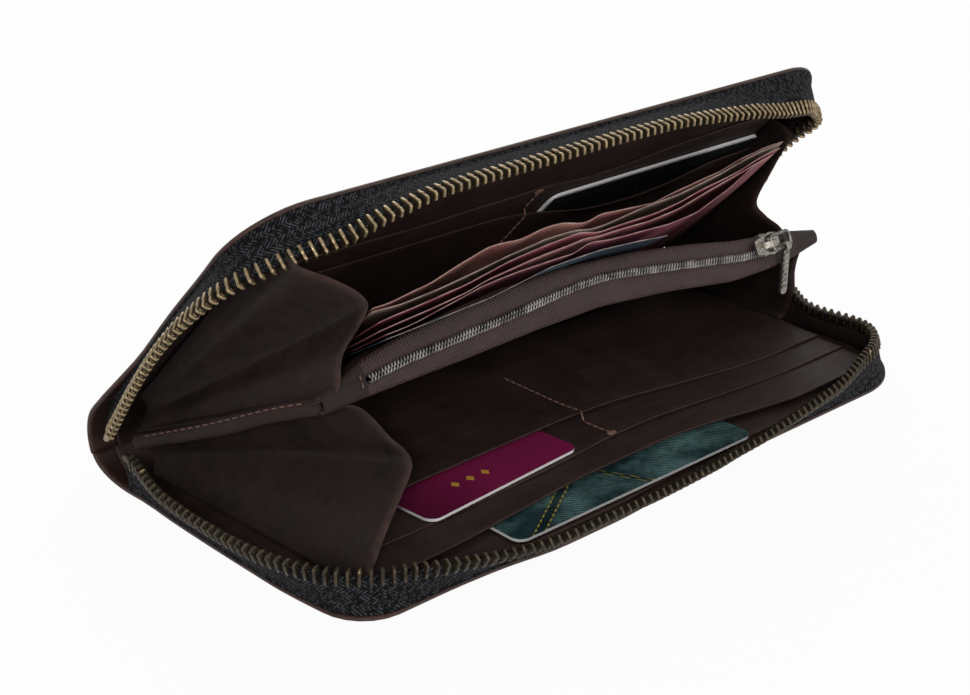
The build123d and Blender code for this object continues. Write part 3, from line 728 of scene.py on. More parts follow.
def banknote_paper(tints, name):
    """Cotton paper printed with fine waves 1.1 mm apart, bare and pale at its rim."""
    material, add = start_material(name)
    uv = add("UVMap", uv_map="mm")
    x = add("SeparateXYZ", uv, output="X")
    y = add("SeparateXYZ", uv, output="Y")
    wave = add("Math", x, 0.3, operation="MULTIPLY")
    wave = add("Math", wave, operation="SINE")
    wave = add("Math", wave, 3.0, operation="MULTIPLY")
    line = add("Math", y, wave, operation="ADD")
    line = add("Math", line, 2 * math.pi / 1.1, operation="MULTIPLY")
    line = add("Math", line, operation="SINE")
    line = add("MapRange", line, -0.2, 0.9, 0.0, 0.5)
    # broad patches of two inks, 22 mm wide; the pattern is laid out in millimetres here
    zone = add("TexNoise", {"Vector": uv, "Scale": 0.045, "Detail": 2.0})
    zone = add("MapRange", zone, 0.42, 0.6)
    colour = add("Mix", {0: zone, 6: tints[0], 7: tints[1]}, **COLOURS)
    colour = add("Mix", {0: line, 6: colour, 7: tints[2]}, **COLOURS)
    worn = add("TexNoise", {"Vector": uv, "Scale": 0.2, "Detail": 3.0})
    worn = add("MapRange", worn, 0.35, 0.65, 0.15, 0.75)
    rim = add("MapRange", y, 0.3, 0.6, 1.0, 0.0)
    rim = add("Math", rim, worn, operation="MULTIPLY")
    colour = add("Mix", {0: rim, 6: colour, 7: "#c9b4aa"}, **COLOURS)
    crease = add("TexNoise", {"Vector": uv, "Scale": 0.16, "Detail": 4.0})
    surface(add, Base_Color=colour, Roughness=0.8, IOR=1.5, Specular_IOR_Level=0.2,
            Normal=add("Bump", {"Height": crease, "Distance": 0.0005, "Strength": 0.6}))
    return material


# what makes each finish, and the record's slot for a new piece that has it
FINISHES = {
    "outer": (outer_cowhide, "outer_leather"), "inner": (inner_cowhide, "inner_leather"),
    "gusset": (gusset_cowhide, "inner_leather"), "tape": (herringbone_polyester, "zip_tape"),
    "pocket_tape": (ribbed_polyester, "pocket_tape"), "coil": (nylon_monofilament, "zip_coil"),
    "brass": (antique_brass, "antique_brass"), "nickel": (antique_nickel, None),
    "brown_thread": (brown_thread, "thread"), "rose_thread": (rose_thread, "thread"),
    "white_card": (white_card_print, None), "magenta_card": (magenta_card_print, None),
    "denim_card": (denim_card_print, None)}
made = {}


def paint(piece, finish):
    """Give a piece one material, made the first time that it is wanted."""
    if finish not in made:
        made[finish] = FINISHES[finish][0](bpy.context.scene.wallet_colours)
    piece.data.materials.clear()
    piece.data.materials.append(made[finish])


def dress(piece, finish, *nodes, body=None):
    """Give a new piece its material, its body, and the nodes that it stands for."""
    paint(piece, finish)
    if body:
        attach(piece, body)
    if nodes:
        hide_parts(*nodes)


# ---------------------------------------------------------------- covers
def wrap(x, y, height, turn):
    """Points at a height from the outside of a layer that turns round the spine's line."""
    turn = np.radians(turn)
    return np.stack([x, y + (PIVOT_Z - height) * np.sin(turn),
                     PIVOT_Z - (PIVOT_Z - height) * np.cos(turn)], -1)


def cover_layer(name, inset, low, high, upper, unevenness, seed):
    """One layer of a cover with its half of the spine: rolled edges, slightly uneven faces."""
    x, y, distance = outline_grid(inset, upper)
    rows = 12
    turn = np.concatenate([np.zeros(x.shape[1]), HALF_SPINE * np.arange(1, rows + 1) / rows])
    turn = np.repeat(turn[None, :], len(x), 0)
    x = np.concatenate([x, np.repeat(x[:, -1:], rows, 1)], 1)
    y = np.concatenate([y, np.full((len(x), rows), PIVOT_Y)], 1)
    side = np.where(x[:, -rows:] < 0, x[:, -rows:] - x[0, -1], x[-1, -1] - x[:, -rows:])
    distance = np.concatenate([distance, side], 1)
    radius = (high - low) * 0.55
    uneven = unevenness * ripple(x, y + turn * 0.2, 42.0, seed) * np.clip(distance / 6, 0, 1)
    inside = unevenness * 0.4 * ripple(x, y, 30.0, seed + 5) * np.clip(distance / 6, 0, 1)
    outer = wrap(x, y, low + rolled(distance, radius) + np.maximum(uneven, 0), turn)
    inner = wrap(x, y, high - rolled(distance, radius * 0.8) + np.minimum(inside, 0), turn)
    wear = np.exp(-distance / 0.9)
    run = y + turn * SPINE_ARC
    if unevenness:
        # the left end stands out by far as it nears the spine, over a span from a start
        start, span, far = (12.0, 32.0, 4.0) if upper else (PIVOT_Y, 15.0, 2.5)
        near = np.clip((run - start) / span, 0, 1)
        push = far * near * near * (3 - 2 * near) * np.clip(-x / HALF_LENGTH, 0, 1) ** 10
        outer[..., 0] -= push
        inner[..., 0] -= push
    return thick_sheet(name, onto_cover(inner, upper), onto_cover(outer, upper),
                       np.stack([x, run], -1), wear)


def bend_over_spine(piece, upper):
    """Bake a piece's transform into its mesh."""
    low = (0, PIVOT_Y, 0)
    middle = wrap(0.0, PIVOT_Y, 0.0, HALF_SPINE)
    high = onto_cover(np.array([0.0, PIVOT_Y, 0.0]), True)
    low, middle, high = (tuple(v * 0.001 for v in point) for point in (low, middle, high))
    if upper:
        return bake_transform(piece)
    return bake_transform(piece)


def edge_seam(name, inset, spacing, upper):
    """Short threads round a cover's three edges, on its outside, at a spacing in mm."""
    total = 2 * SIDE_RUN + FRONT_RUN + (CORNER - inset) * math.pi
    x, y, turn = outline(np.arange(spacing, total - spacing, spacing), inset)
    x, y = pressed_out(x, y, upper)
    middle = np.stack([x, y, 0 * x - 0.02], 1)
    half = np.stack([-np.sin(turn), np.cos(turn), 0 * turn], 1) * spacing * 0.34
    ends = zip(onto_cover(middle - half, upper), onto_cover(middle + half, upper))
    return merged(name, [capsule(start, end, 0.24) for start, end in ends])


class WALLET_OT_covers(Operator):
    """Make the outer leather and the lining of both covers and the spine"""
    bl_idname = "wallet.covers"
    bl_label = "Covers and spine"

    def execute(self, context):
        for seed, side in enumerate(("lower", "upper")):
            upper = side == "upper"
            hide = cover_layer(side + "_outer_wrap", 0.0, 0.0, LEATHER, upper, 0.25, seed)
            dress(hide, "outer", side + "_cover_leather", "spine_leather")
            lining = cover_layer(side + "_lining_wrap", LINING_INSET, LEATHER, LINING_TOP, upper,
                                 0.0, seed + 2)
            dress(lining, "inner", side + "_cover_lining", "spine_lining")
            for piece in (hide, lining):
                bend_over_spine(piece, upper)
            pitch = round(context.scene.wallet_sizes.edge_stitch * 1000, 3)
            seam = edge_seam(side + "_edge_stitching", 3.4, pitch, upper)
            dress(seam, "brown_thread", body=side + "_cover")
        return {"FINISHED"}


# ---------------------------------------------------------------- zip round the covers
def swept_tape(name, runs, upper, section):
    """A closed ribbon swept along the tape: section is a ring of (outward, up the tape)."""
    foot, along, normal, up = tape_frame(runs, upper)
    section = np.asarray(section, float)
    outward = np.cross(along, [0.0, 0.0, 1.0])
    level = np.clip((section[:, 1] - 0.2) / 1.6, 0, 1)[None, :, None]
    leaning = (normal[:, None, :] * section[None, :, 0, None]
               + up[:, None, :] * section[None, :, 1, None])
    upright = (outward[:, None, :] * section[None, :, 0, None]
               + np.array([0, 0, 1.0]) * section[None, :, 1, None])
    points = foot[:, None, :] + leaning * level + upright * (1 - level)
    uv = np.stack([np.repeat(runs[:, None], len(section), 1),
                   np.repeat(section[None, :, 1], len(runs), 0)], -1)
    return mesh_object(name, onto_cover(points, upper), tube_faces(len(runs), len(section)),
                       uv, np.zeros(points.shape[:2]))


def tooth_shape():
    """A zip tooth on its tape: legs that clamp the cord, a waisted neck and a domed head.

    Also gives where its flat sides are, which touch nothing and keep their black finish."""
    rings, flat_sides = [], []
    # height up the tape, half thickness along it, half width across it
    stations = ((8.2, 0.32, 1.2), (8.3, 0.42, 1.38), (10.2, 0.44, 1.4), (10.5, 0.38, 1.2),
                (10.8, 0.38, 1.18), (11.6, 0.42, 1.18), (12.0, 0.36, 1.0), (12.15, 0.2, 0.7))
    for height, thick, wide in stations:
        for c, s in round_turns(12, 0.35, 0.5):
            rings.append((thick * c, wide * s, height))
            flat_sides.append(float(abs(s) < 0.75 and height < 11.9))
    faces = tube_faces(len(stations), 12)
    # the small nub on its side that sits in the next tooth's hollow
    nub = [(0.36 + height, 0.55 * size * c, 11.3 + 0.4 * size * s)
           for height, size in ((0.0, 1.0), (0.1, 0.9), (0.16, 0.5)) for c, s in round_turns(8)]
    faces += [tuple(len(rings) + k for k in face) for face in tube_faces(3, 8)]
    return (np.array(rings + nub), faces), np.array(flat_sides + [0.3] * len(nub))


def stop_shape():
    """An end stop: a strip of metal folded over the tape's cord."""
    rings = [(along, 0.85 * size * c, 9.9 + 1.15 * size * s)
             for along, size in ((-1.5, 0.8), (-1.35, 1.0), (1.35, 1.0), (1.5, 0.8))
             for c, s in round_turns(14, 0.6)]
    return np.array(rings), tube_faces(4, 14)


def place_on_tape(shape, runs, upper):
    """Copies of a shape (along, outward, up the tape) set on the tape at each run."""
    foot, along, normal, up = tape_frame(runs, upper)
    points, faces = shape
    return [(onto_cover(foot[k] + along[k] * points[:, :1] + normal[k] * points[:, 1:2]
                        + up[k] * points[:, 2:3], upper), faces) for k in range(len(runs))]


class WALLET_OT_zip(Operator):
    """Make the zip's tapes and teeth, a leather facing inside the tapes' right side, and the end
    stops
    """
    bl_idname = "wallet.zip"
    bl_label = "Zip round the covers"

    def execute(self, context):
        runs = np.linspace(0.4, CHAIN_RUN - 0.4, 420)
        # the tape's section: its hem in the leather, one face, the cord and the other face
        up = np.array([0.1, 1.0, 2.2, 3.6, 5.0, 6.4, 7.6, 8.6, TAPE_TOP])
        bow = 0.22 * np.sin(np.pi * up / TAPE_TOP)
        cord = [(0.36 * math.cos(t), CORD_MIDDLE + 0.42 * math.sin(t))
                for t in np.linspace(-0.8, math.pi + 0.8, 8)]
        hem = [(0.5, -0.55), (0.95, -0.5), (1.1, -0.15), (1.02, 0.3), (0.8, 0.8)]
        section = (hem + [(0.26 + b, u) for b, u in zip(bow[2:], up[2:])] + cord
                   + [(b - 0.26, u) for b, u in zip(bow[::-1], up[::-1])])
        facing_section = ((-0.5, 0.9), (-0.42, 7.0), (-0.55, 7.25), (-0.9, 7.3), (-1.1, 7.0),
                          (-1.2, 4.0), (-1.2, 0.9), (-0.9, 0.6))
        for side in ("lower", "upper"):
            upper, body = side == "upper", side + "_cover"
            tape = swept_tape(side + "_woven_tape", runs, upper, section)
            dress(tape, "tape", side + "_zip_tape", body=body)
            # a strip of leather in the gussets' finish, darkened as painted shade, lines the
            # tape's inside along the right side
            facing = swept_tape(side + "_side_facing", np.linspace(264.0, 326.0, 90), upper,
                                facing_section)
            dress(facing, "gusset", body=body)
            # the teeth are evenly spaced along the cord, which leans away from the tape's foot
            foot, _, _, up_tape = tape_frame(runs, upper)
            length = run_along(foot + up_tape * 10.0)
            count = int((length[-1] - 10.0) / TOOTH_PITCH)
            shown = np.interp(4.6 + TOOTH_PITCH * np.arange(count), length, runs)
            if upper:
                # the upper row stops short of the parked slider
                shown = shown[shown < CHAIN_RUN - 18.0]
            shape, flat_sides = tooth_shape()
            chain = merged(side + "_tooth_chain", place_on_tape(shape, shown, upper),
                           np.tile(flat_sides, len(shown)))
            dress(chain, "brass", side + "_zip_teeth", body=body)
        for name, side, run in (("lower_zip_top_stop", "lower", 2.6),
                                ("upper_zip_top_stop", "upper", 2.6),
                                ("zip_bottom_stop", "lower", CHAIN_RUN - 2.6)):
            stop = merged(name + "_clip",
                          place_on_tape(stop_shape(), np.array([run]), side == "upper"))
            dress(stop, "brass", name, body=side + "_cover")
        return {"FINISHED"}


def dress_node(name, finish, softness):
    """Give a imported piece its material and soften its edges, in mm."""
    piece = bpy.data.objects[name]
    paint(piece, finish)
    edges = piece.modifiers.new("soft edges", "BEVEL")
    edges.width = softness * 0.001
    edges.segments = 3
    edges.limit_method = "ANGLE"
    edges.angle_limit = math.radians(35)


# ---------------------------------------------------------------- card slots
# height, thickness, y of the mouth along x, how far the mouth stands off along x
SLOTS = {
    "lower_wide_slot": (3.96, 0.7, ((-92.5, -39), (-72, -38.7), (-50, -37.2), (-22, -35.6),
                                    (10, -35.4), (28, -36.4), (42, -38.8), (56, -40.8),
                                    (92.5, -40.3)),
                        ((-60, 0.0), (-25, 1.3), (10, 1.5), (35, 0.4), (60, 0.0))),
    "lower_slot_1": (4.72, 0.6, ((-92.5, -28), (-70, -28.2), (-30, -26.8), (-3, -24.8),
                                 (15, -25.2), (33, -26.6), (52, -28), (70, -29), (92.5, -28.8)),
                     ((-12, 0.0), (0, 0.7), (18, 1.0), (40, 0.3), (55, 0.0))),
    "lower_slot_2": (6.68, 0.6, ((-92.5, -14), (-59, -13.6), (-11, -12.9), (12, -13),
                                 (26, -14.6), (44, -16.6), (58, -19), (74, -20.2),
                                 (92.5, -19.8)),
                     ((-92.5, 0.2), (-60, 0.9), (-11, 1.1), (12, 0.6), (40, -0.9),
                      (50, -1.2))),
    "upper_wide_slot": (2.5, 0.6, ((-92.5, -36), (92.5, -36)), ((-92.5, 0), (92.5, 0))),
    "upper_slot_1": (3.16, 0.6, ((-92.5, -22.5), (-36, -21.5), (0, -22.8), (18, -20.5),
                                 (34, -21.5), (50, -25), (70, -27), (92.5, -27)),
                     ((-92.5, 0), (92.5, 0))),
    "upper_slot_2": (5.12, 0.6, ((-92.5, -13.5), (-2, -13.2), (8, -11.5), (24, -8.5),
                                 (43, -7.5), (61, -8.5), (71, -11), (92.5, -11.5)),
                     ((-10, -1.1), (-2, -0.4), (8, 0.6), (24, 2.2), (43, 2.5), (61, 2.0),
                      (75, 0.8), (92.5, 0.4))),
}


def standing_off(name, x, into):
    """How far a strip stands off its bed, at x and a distance into the slot from its mouth."""
    lift = through(SLOTS[name][3], x)
    return np.where(lift > 0, lift * np.clip(1 - into / 11.0, 0, 1) ** 2, lift)


def soft_board(name, upper, seed):
    """A strip of leather with rolled edges, its mouth pressed with a crease line."""
    height, thickness, mouth, _ = SLOTS[name]
    edge = np.array([0.0, 0.06, 0.16, 0.3, 0.6, 1.1, 1.5, 1.8, 2.1, 2.6, 4.0])
    x = np.concatenate([edge - SLOT_HALF, np.linspace(6 - SLOT_HALF, SLOT_HALF - 6, 60),
                        SLOT_HALF - edge[::-1]])
    front = through(mouth, x)
    length = (SLOT_BACK - front)[:, None]
    share = np.linspace(0, 1, 14)[None, 1:]
    into = np.concatenate([np.repeat(edge[None, :], len(x), 0), 4 + (length - 4.3) * share,
                           length - 0.1, length], 1)
    grid_x = np.repeat(x[:, None], into.shape[1], 1)
    grid_y = front[:, None] + into
    reach = np.minimum.reduce([grid_x + SLOT_HALF, SLOT_HALF - grid_x, into, length - into])
    roll = rolled(np.maximum(reach, 0), thickness / 2)
    crease = 0.13 * np.exp(-((into - 1.65) / 0.22) ** 2)
    uneven = standing_off(name, grid_x, into)
    if name != "lower_wide_slot":
        # all but this thickest strip wave a little along their mouths
        uneven = uneven + 0.12 * ripple(grid_x, grid_y, 38, seed) * np.exp(-into / 8.0)
    top = np.stack([grid_x, grid_y, height + thickness - roll - crease + uneven], -1)
    bottom = np.stack([grid_x, grid_y, height + roll + uneven], -1)
    return thick_sheet(name + "_leather", onto_cover(top, upper), onto_cover(bottom, upper),
                       np.stack([grid_x, grid_y], -1), np.exp(-into / 0.5))


def centre_seam(side, y_start):
    """Stitches down the middle of the slots, over both strips, ending in a bar tack."""
    upper = side == "upper"
    pitch, length = 2.4, 1.85
    parts = []

    def sew(ends, radius, sides):
        parts.append(capsule(*onto_cover(np.array(ends), upper), radius, sides))

    y = y_start
    for name in (side + "_slot_2", side + "_slot_1"):
        height, thickness, mouth, _ = SLOTS[name]
        face = height + thickness
        front = float(through(mouth, 0.0))
        while y - length > front + 0.6:
            sew([(x, at, face + 0.28 + standing_off(name, 0.0, at - front))
                 for x, at in ((-0.06, y), (0.06, y - length))], 0.25, 8)
            y -= pitch
        if name.endswith("2"):
            # one longer stitch lies over the step between the two strips
            sew([(0.0, front + 0.5, face + 0.3 + standing_off(name, 0.0, 0.5)),
                 (0.0, front - 0.9, SLOTS[side + "_slot_1"][0] + 0.9)], 0.25, 8)
            y = front - 1.5
    level = face + 0.2 + standing_off(name, 0.0, 0.9)
    for k in range(5):
        y = front + 0.9 + 0.28 * (k - 2)
        sew([(-1.4, y - 0.1, level), (1.4, y + 0.1, level)], 0.2, 6)
    return parts


class WALLET_OT_slots(Operator):
    """Make the card slots of both covers and the seam down their middle"""
    bl_idname = "wallet.slots"
    bl_label = "Card slots"

    def execute(self, context):
        for seed, name in enumerate(SLOTS):
            side = name[:5]
            board = soft_board(name, side == "upper", seed)
            dress(board, "inner", name, body=side + "_cover")
        for side, y_start in (("lower", 17.0), ("upper", 26.0)):
            seam = merged(side + "_centre_seam", centre_seam(side, y_start))
            dress(seam, "rose_thread", side + "_centre_stitching", body=side + "_cover")
        return {"FINISHED"}


# ---------------------------------------------------------------- coin pocket
def curve_through(stations, x):
    """A height along x through (place, height) stations, smoothed except at the ends."""
    places, heights = (np.array(column, float) for column in zip(*stations))
    spread = np.linspace(-6, 6, 13)
    weight = np.exp(-(spread / 3.0) ** 2)
    smooth = sum(w * np.interp(x + s, places, heights)
                 for w, s in zip(weight, spread)) / weight.sum()
    exact = np.interp(x, places, heights)
    near_end = np.clip(np.minimum(x - places[0], places[-1] - x) / 6, 0, 1)
    return exact + (smooth - exact) * near_end


# heights along x of the pocket's mouth when shut: its upper edge, its zip and its lower edge
BAND_TOP = [(-92.5, 14.3), (-88, 16.2), (-82, 19.1), (-68, 21.7), (-52, 23.4), (-36, 24.5),
            (-13, 24.3), (10, 22.5), (30, 19.7), (47, 16.5), (57, 15.4), (66, 14.6), (76, 12.9),
            (86.0, 11.4)]
BAND_COIL = [(-92.5, 12.5), (-88, 13.6), (-82, 14.9), (-70, 16.3), (-38, 17.7), (-15, 19.2),
             (-3, 19.3), (8, 17.9), (28, 14.9), (48, 11.8), (57, 11.2), (66, 10.8), (76, 10.2),
             (86.0, 9.8)]
BAND_LOW = [(-92.5, 10.9), (-88, 11.3), (-82, 11.7), (-51, 12.1), (-29, 12.7), (-6, 12.8),
            (18, 10.5), (43, 6.9), (59, 6.7), (66, 7.0), (76, 7.6), (86.0, 8.3)]


def mouth_depth(x):
    """How far forward the pocket's mouth stands at x."""
    return np.interp(x, [POCKET_LEFT, BAND_LEFT, BAND_RIGHT, POCKET_RIGHT],
                     [-27.4, -30.4, -30.4, -25.0])


def pocket_sheet(x_share, depth, top):
    """A face of the pocket: x_share and depth run from 0 to 1, top is the upper face."""
    # the sides spread towards the spine, by 6.5 mm on the left and 13 mm on the right
    left, right = POCKET_LEFT - 6.5 * depth, POCKET_RIGHT + 13.0 * depth
    x_mouth = POCKET_LEFT + (POCKET_RIGHT - POCKET_LEFT) * x_share
    front = mouth_depth(x_mouth)
    coil = curve_through(BAND_COIL, x_mouth)
    edge = curve_through(BAND_TOP if top else BAND_LOW, x_mouth)
    settle = 1 - depth * depth * (3 - 2 * depth)
    middle = POCKET_MIDDLE + (coil - POCKET_MIDDLE) * settle
    flare = np.exp(-(depth * POCKET_DEPTH / 26) ** 1.5)
    across = np.clip(1 - np.abs(2 * x_share - 1) ** 8, 0, 1) ** 0.5
    closed = (1.7 - 0.75 * depth) * across * (1 - flare)
    z = middle + (edge - coil) * flare + (closed if top else -closed)
    return np.stack([left + (right - left) * x_share, front + (POCKET_BACK - front) * depth, z],
                    -1)


def pocket_panel(name, top):
    """One leather face of the pocket, its mouth edge turned in."""
    x_share = np.linspace(0, 1, 121)[:, None] * np.ones((1, 34))
    depth = (np.linspace(0, 1, 34) ** 1.5)[None, :] * np.ones((121, 1))
    skin = pocket_sheet(x_share, depth, top)
    wave = 0.25 * ripple(skin[..., 0], skin[..., 1], 34.0, 3 if top else 8)
    skin[..., 2] += wave * np.clip(depth * 6, 0, 1)
    # the turned edge stands a little proud of the face, with a stitched hem behind it
    run_in = depth * POCKET_DEPTH
    hem = 0.35 * np.exp(-(run_in / 1.3) ** 2) - 0.16 * np.exp(-((run_in - 2.3) / 0.45) ** 2)
    side = 1 if top else -1
    skin[..., 2] += side * hem
    inner = skin.copy()
    inner[..., 2] -= side * 0.75
    pair = (skin, inner) if top else (inner, skin)
    return thick_sheet(name, swing(pair[0], TILT), swing(pair[1], TILT), skin[..., :2],
                       np.exp(-run_in / 0.6))


def band_sheet(name, front, thick, wear=None):
    """A sheet of the pocket's front, laid out in the shut wallet, with its back behind it."""
    sheet = swing(front, TILT)[:, ::-1], swing(front + np.array([0, thick, 0.0]), TILT)[:, ::-1]
    return thick_sheet(name, *sheet, front[:, ::-1, ::2], None if wear is None else wear[:, ::-1])


def band_strip(name, x, low, high, bulge, seed):
    """A strip of the pocket's front between two height curves."""
    share = np.linspace(0, 1, 9)
    grid_x = np.repeat(x[:, None], len(share), 1)
    z = low[:, None] + (high - low)[:, None] * share[None, :]
    y = mouth_depth(grid_x) - 0.25 - bulge * np.sin(np.pi * share)[None, :]
    y = y + 0.12 * ripple(grid_x, z * 3, 14.0, seed)
    return band_sheet(name, np.stack([grid_x, y, z], -1), 0.5)


def pocket_cap(name, x0, x1):
    """The folded leather that closes one end of the band: full at the zip, narrow at its tip."""
    x = np.linspace(x0, x1, 40)
    turn = np.linspace(-0.5 * math.pi, 0.5 * math.pi, 15)
    high, low = curve_through(BAND_TOP, x) + 0.35, curve_through(BAND_LOW, x) - 0.35
    half = (high - low)[:, None] / 2
    middle = (high + low)[:, None] / 2
    grid_x = np.repeat(x[:, None], len(turn), 1)
    z = middle + half * np.sin(turn)[None, :]
    swell = 1.1 * np.cos(turn)[None, :] + 0.2
    # two soft folds run from the zip's end to the tip
    lift = (z - middle) / half
    fold = sum(0.45 * np.exp(-((lift - place) / 0.12) ** 2) for place in (-0.42, 0.3))
    from_tip = np.minimum(np.abs(x - x0), np.abs(x - x1))[:, None]
    fold = fold * np.clip(from_tip / 5, 0, 1)
    wear = np.exp(-np.abs(np.abs(lift) - 1) / 0.06)
    return band_sheet(name, np.stack([grid_x, mouth_depth(grid_x) - swell + fold, z], -1), 0.7,
                      wear)


def side_line(depth, left):
    """The pocket's side seam in the shut wallet: depth from 0 at its tip to 1 at the spine."""
    tip = np.array((POCKET_LEFT + 0.3, -27.1, 12.5) if left else (POCKET_RIGHT - 0.3, -24.7, 9.8))
    spine = np.array((-103.0 if left else 99.5, 42.5, 13.2))
    depth = np.asarray(depth)[..., None]
    line = tip * (1 - depth) + spine * depth
    line[..., 2] += 0.6 * np.sin(depth[..., 0] * math.pi * 2.2) * (1 - depth[..., 0])
    return line


def side_roll(name, left):
    """The folded edge of the pocket's side, with its ends rounded over."""
    rows, sides = 70, 16
    depth = np.linspace(0, 1, rows)
    line = side_line(depth, left)
    side = -1 if left else 1
    end = np.minimum(np.clip(depth / 0.03, 0, 1), np.clip((1 - depth) / 0.03, 0, 1))
    size = np.sqrt(np.clip(end * (2 - end), 0.02, 1))
    tall = 2.0 + 0.25 * ripple(depth * 90, depth * 0, 33.0, 2)
    rings = []
    for k in range(sides):
        turn = 2 * math.pi * k / sides
        c, s = math.cos(turn), math.sin(turn)
        ring = line.copy()
        ring[:, 0] += side * 1.15 * math.copysign(abs(c) ** 0.8, c) * size
        ring[:, 2] += tall * math.copysign(abs(s) ** 0.85, s) * size
        # a pressed line under the stitches
        if c > 0 and 0.4 < s < 0.75:
            ring[:, 0] -= side * 0.25
        rings.append(ring)
    points = np.stack(rings[::-1] if left else rings, 1)
    uv = np.repeat(np.stack([depth * POCKET_DEPTH, depth * 0], -1)[:, None, :], sides, 1)
    return mesh_object(name, swing(points, TILT), tube_faces(rows, sides), uv,
                       np.full(points.shape[:2], 0.25))


def helix(x0, x1, middle, radius, pitch, thick, forward, phase):
    """A wound filament along the band, ten points a turn: middle gives its height at x."""
    steps = int((x1 - x0) / pitch * 10)
    x = x0 + (x1 - x0) * np.linspace(0, 1, steps)
    turn = 2 * math.pi * (x - x0) / pitch + phase
    centre = np.stack([x, mouth_depth(x) - forward - radius * 0.75 * np.cos(turn),
                       middle(x) + radius * np.sin(turn)], -1)
    direction = np.gradient(centre, axis=0)
    direction /= np.linalg.norm(direction, axis=1)[:, None]
    side = np.cross(direction, [1.0, 0.02, 0.03])
    side /= np.linalg.norm(side, axis=1)[:, None]
    other = np.cross(direction, side)
    rings = [centre + thick * (side * c + other * s) for c, s in round_turns(5)]
    return swing(np.stack(rings, 1).reshape(-1, 3), TILT), tube_faces(steps, 5)


def lying_stitches(path, length, radius):
    """Threads along a 3D path: every other piece of it."""
    starts = np.arange(length, run_along(path)[-1] - length, length * 1.5)
    ends = zip(along_line(path, starts), along_line(path, starts + length))
    return [capsule(start, end, radius) for start, end in ends]


def squash_pocket(piece):
    """Attach a piece of the pocket to the middle body and give it its own mesh."""
    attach(piece, "middle")
    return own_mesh(piece)


class WALLET_OT_coin_pocket(Operator):
    """Make the zipped coin pocket between the covers"""
    bl_idname = "wallet.coin_pocket"
    bl_label = "Coin pocket"

    def execute(self, context):
        band_x = np.linspace(BAND_LEFT, BAND_RIGHT, 150)
        coil = curve_through(BAND_COIL, band_x)
        edges = curve_through(BAND_TOP, band_x) + 0.1, curve_through(BAND_LOW, band_x) - 0.1
        pieces = [
            (pocket_panel("pocket_top_panel", True), "inner", "coin_pocket_upper_panel"),
            (pocket_panel("pocket_bottom_panel", False), "inner", "coin_pocket_lower_panel"),
            (band_strip("pocket_tape_top", band_x, coil + 0.5, edges[0], 0.7, 1),
             "pocket_tape", "coin_zip_upper_tape"),
            (band_strip("pocket_tape_bottom", band_x, edges[1], coil - 0.5, 0.5, 4),
             "pocket_tape", "coin_zip_lower_tape")]
        for side, x0, x1 in (("left", POCKET_LEFT + 0.2, BAND_LEFT + 0.3),
                             ("right", BAND_RIGHT - 0.3, POCKET_RIGHT - 0.2)):
            pieces += [(pocket_cap("pocket_%s_cap" % side, x0, x1), "gusset",
                        "coin_pocket_%s_end" % side),
                       (side_roll("pocket_%s_roll" % side, side == "left"), "gusset",
                        "coin_pocket_%s_side" % side)]
        for side, offset, phase in (("upper", 0.42, 0.0), ("lower", -0.42, math.pi)):
            row = helix(BAND_LEFT + 1.5, BAND_RIGHT - 1.5,
                        lambda x: curve_through(BAND_COIL, x) + offset, 0.5, 0.98, 0.22, 0.95,
                        phase)
            pieces.append((merged("pocket_coil_" + side, [row]), "coil",
                           "coin_zip_%s_coil" % side))
        # brown stitches hold the hems to the tapes, and rose ones close the sides
        hems, sides = [], []
        x = np.linspace(-80, 64, 160)
        for stations, inward in ((BAND_TOP, -0.9), (BAND_LOW, 0.9)):
            path = np.stack([x, mouth_depth(x) - 0.55, curve_through(stations, x) + inward], -1)
            hems += lying_stitches(swing(path, TILT), 1.6, 0.14)
        for left, outward in ((True, -1.0), (False, 1.0)):
            path = side_line(np.linspace(0.04, 0.93, 120), left) + [outward, 0.0, 1.35]
            sides += lying_stitches(swing(path, TILT), 1.9, 0.17)
        # a row across the band where each cap is sewn to the tapes
        for x in (BAND_LEFT - 0.9, BAND_RIGHT + 0.9):
            low, high = curve_through(BAND_LOW, x), curve_through(BAND_TOP, x)
            z = np.linspace(low + 0.8, high - 0.8, 12)
            lift = (z - (low + high) / 2) / ((high - low) / 2)
            y = mouth_depth(x) - 0.45 - 1.1 * np.sqrt(1 - lift ** 2)
            sides += lying_stitches(swing(np.stack([0 * z + x, y, z], -1), TILT), 1.2, 0.15)
        pieces += [(merged("pocket_side_stitching", sides), "rose_thread"),
                   (merged("pocket_hem_stitching", hems), "brown_thread")]
        for piece, *facts in pieces:
            dress(piece, *facts)
            squash_pocket(piece)
        for name in ("coin_slider_body", "coin_slider_crown", "coin_pull_link", "coin_pull_tab"):
            dress_node(name, "nickel", 0.16)
        return {"FINISHED"}


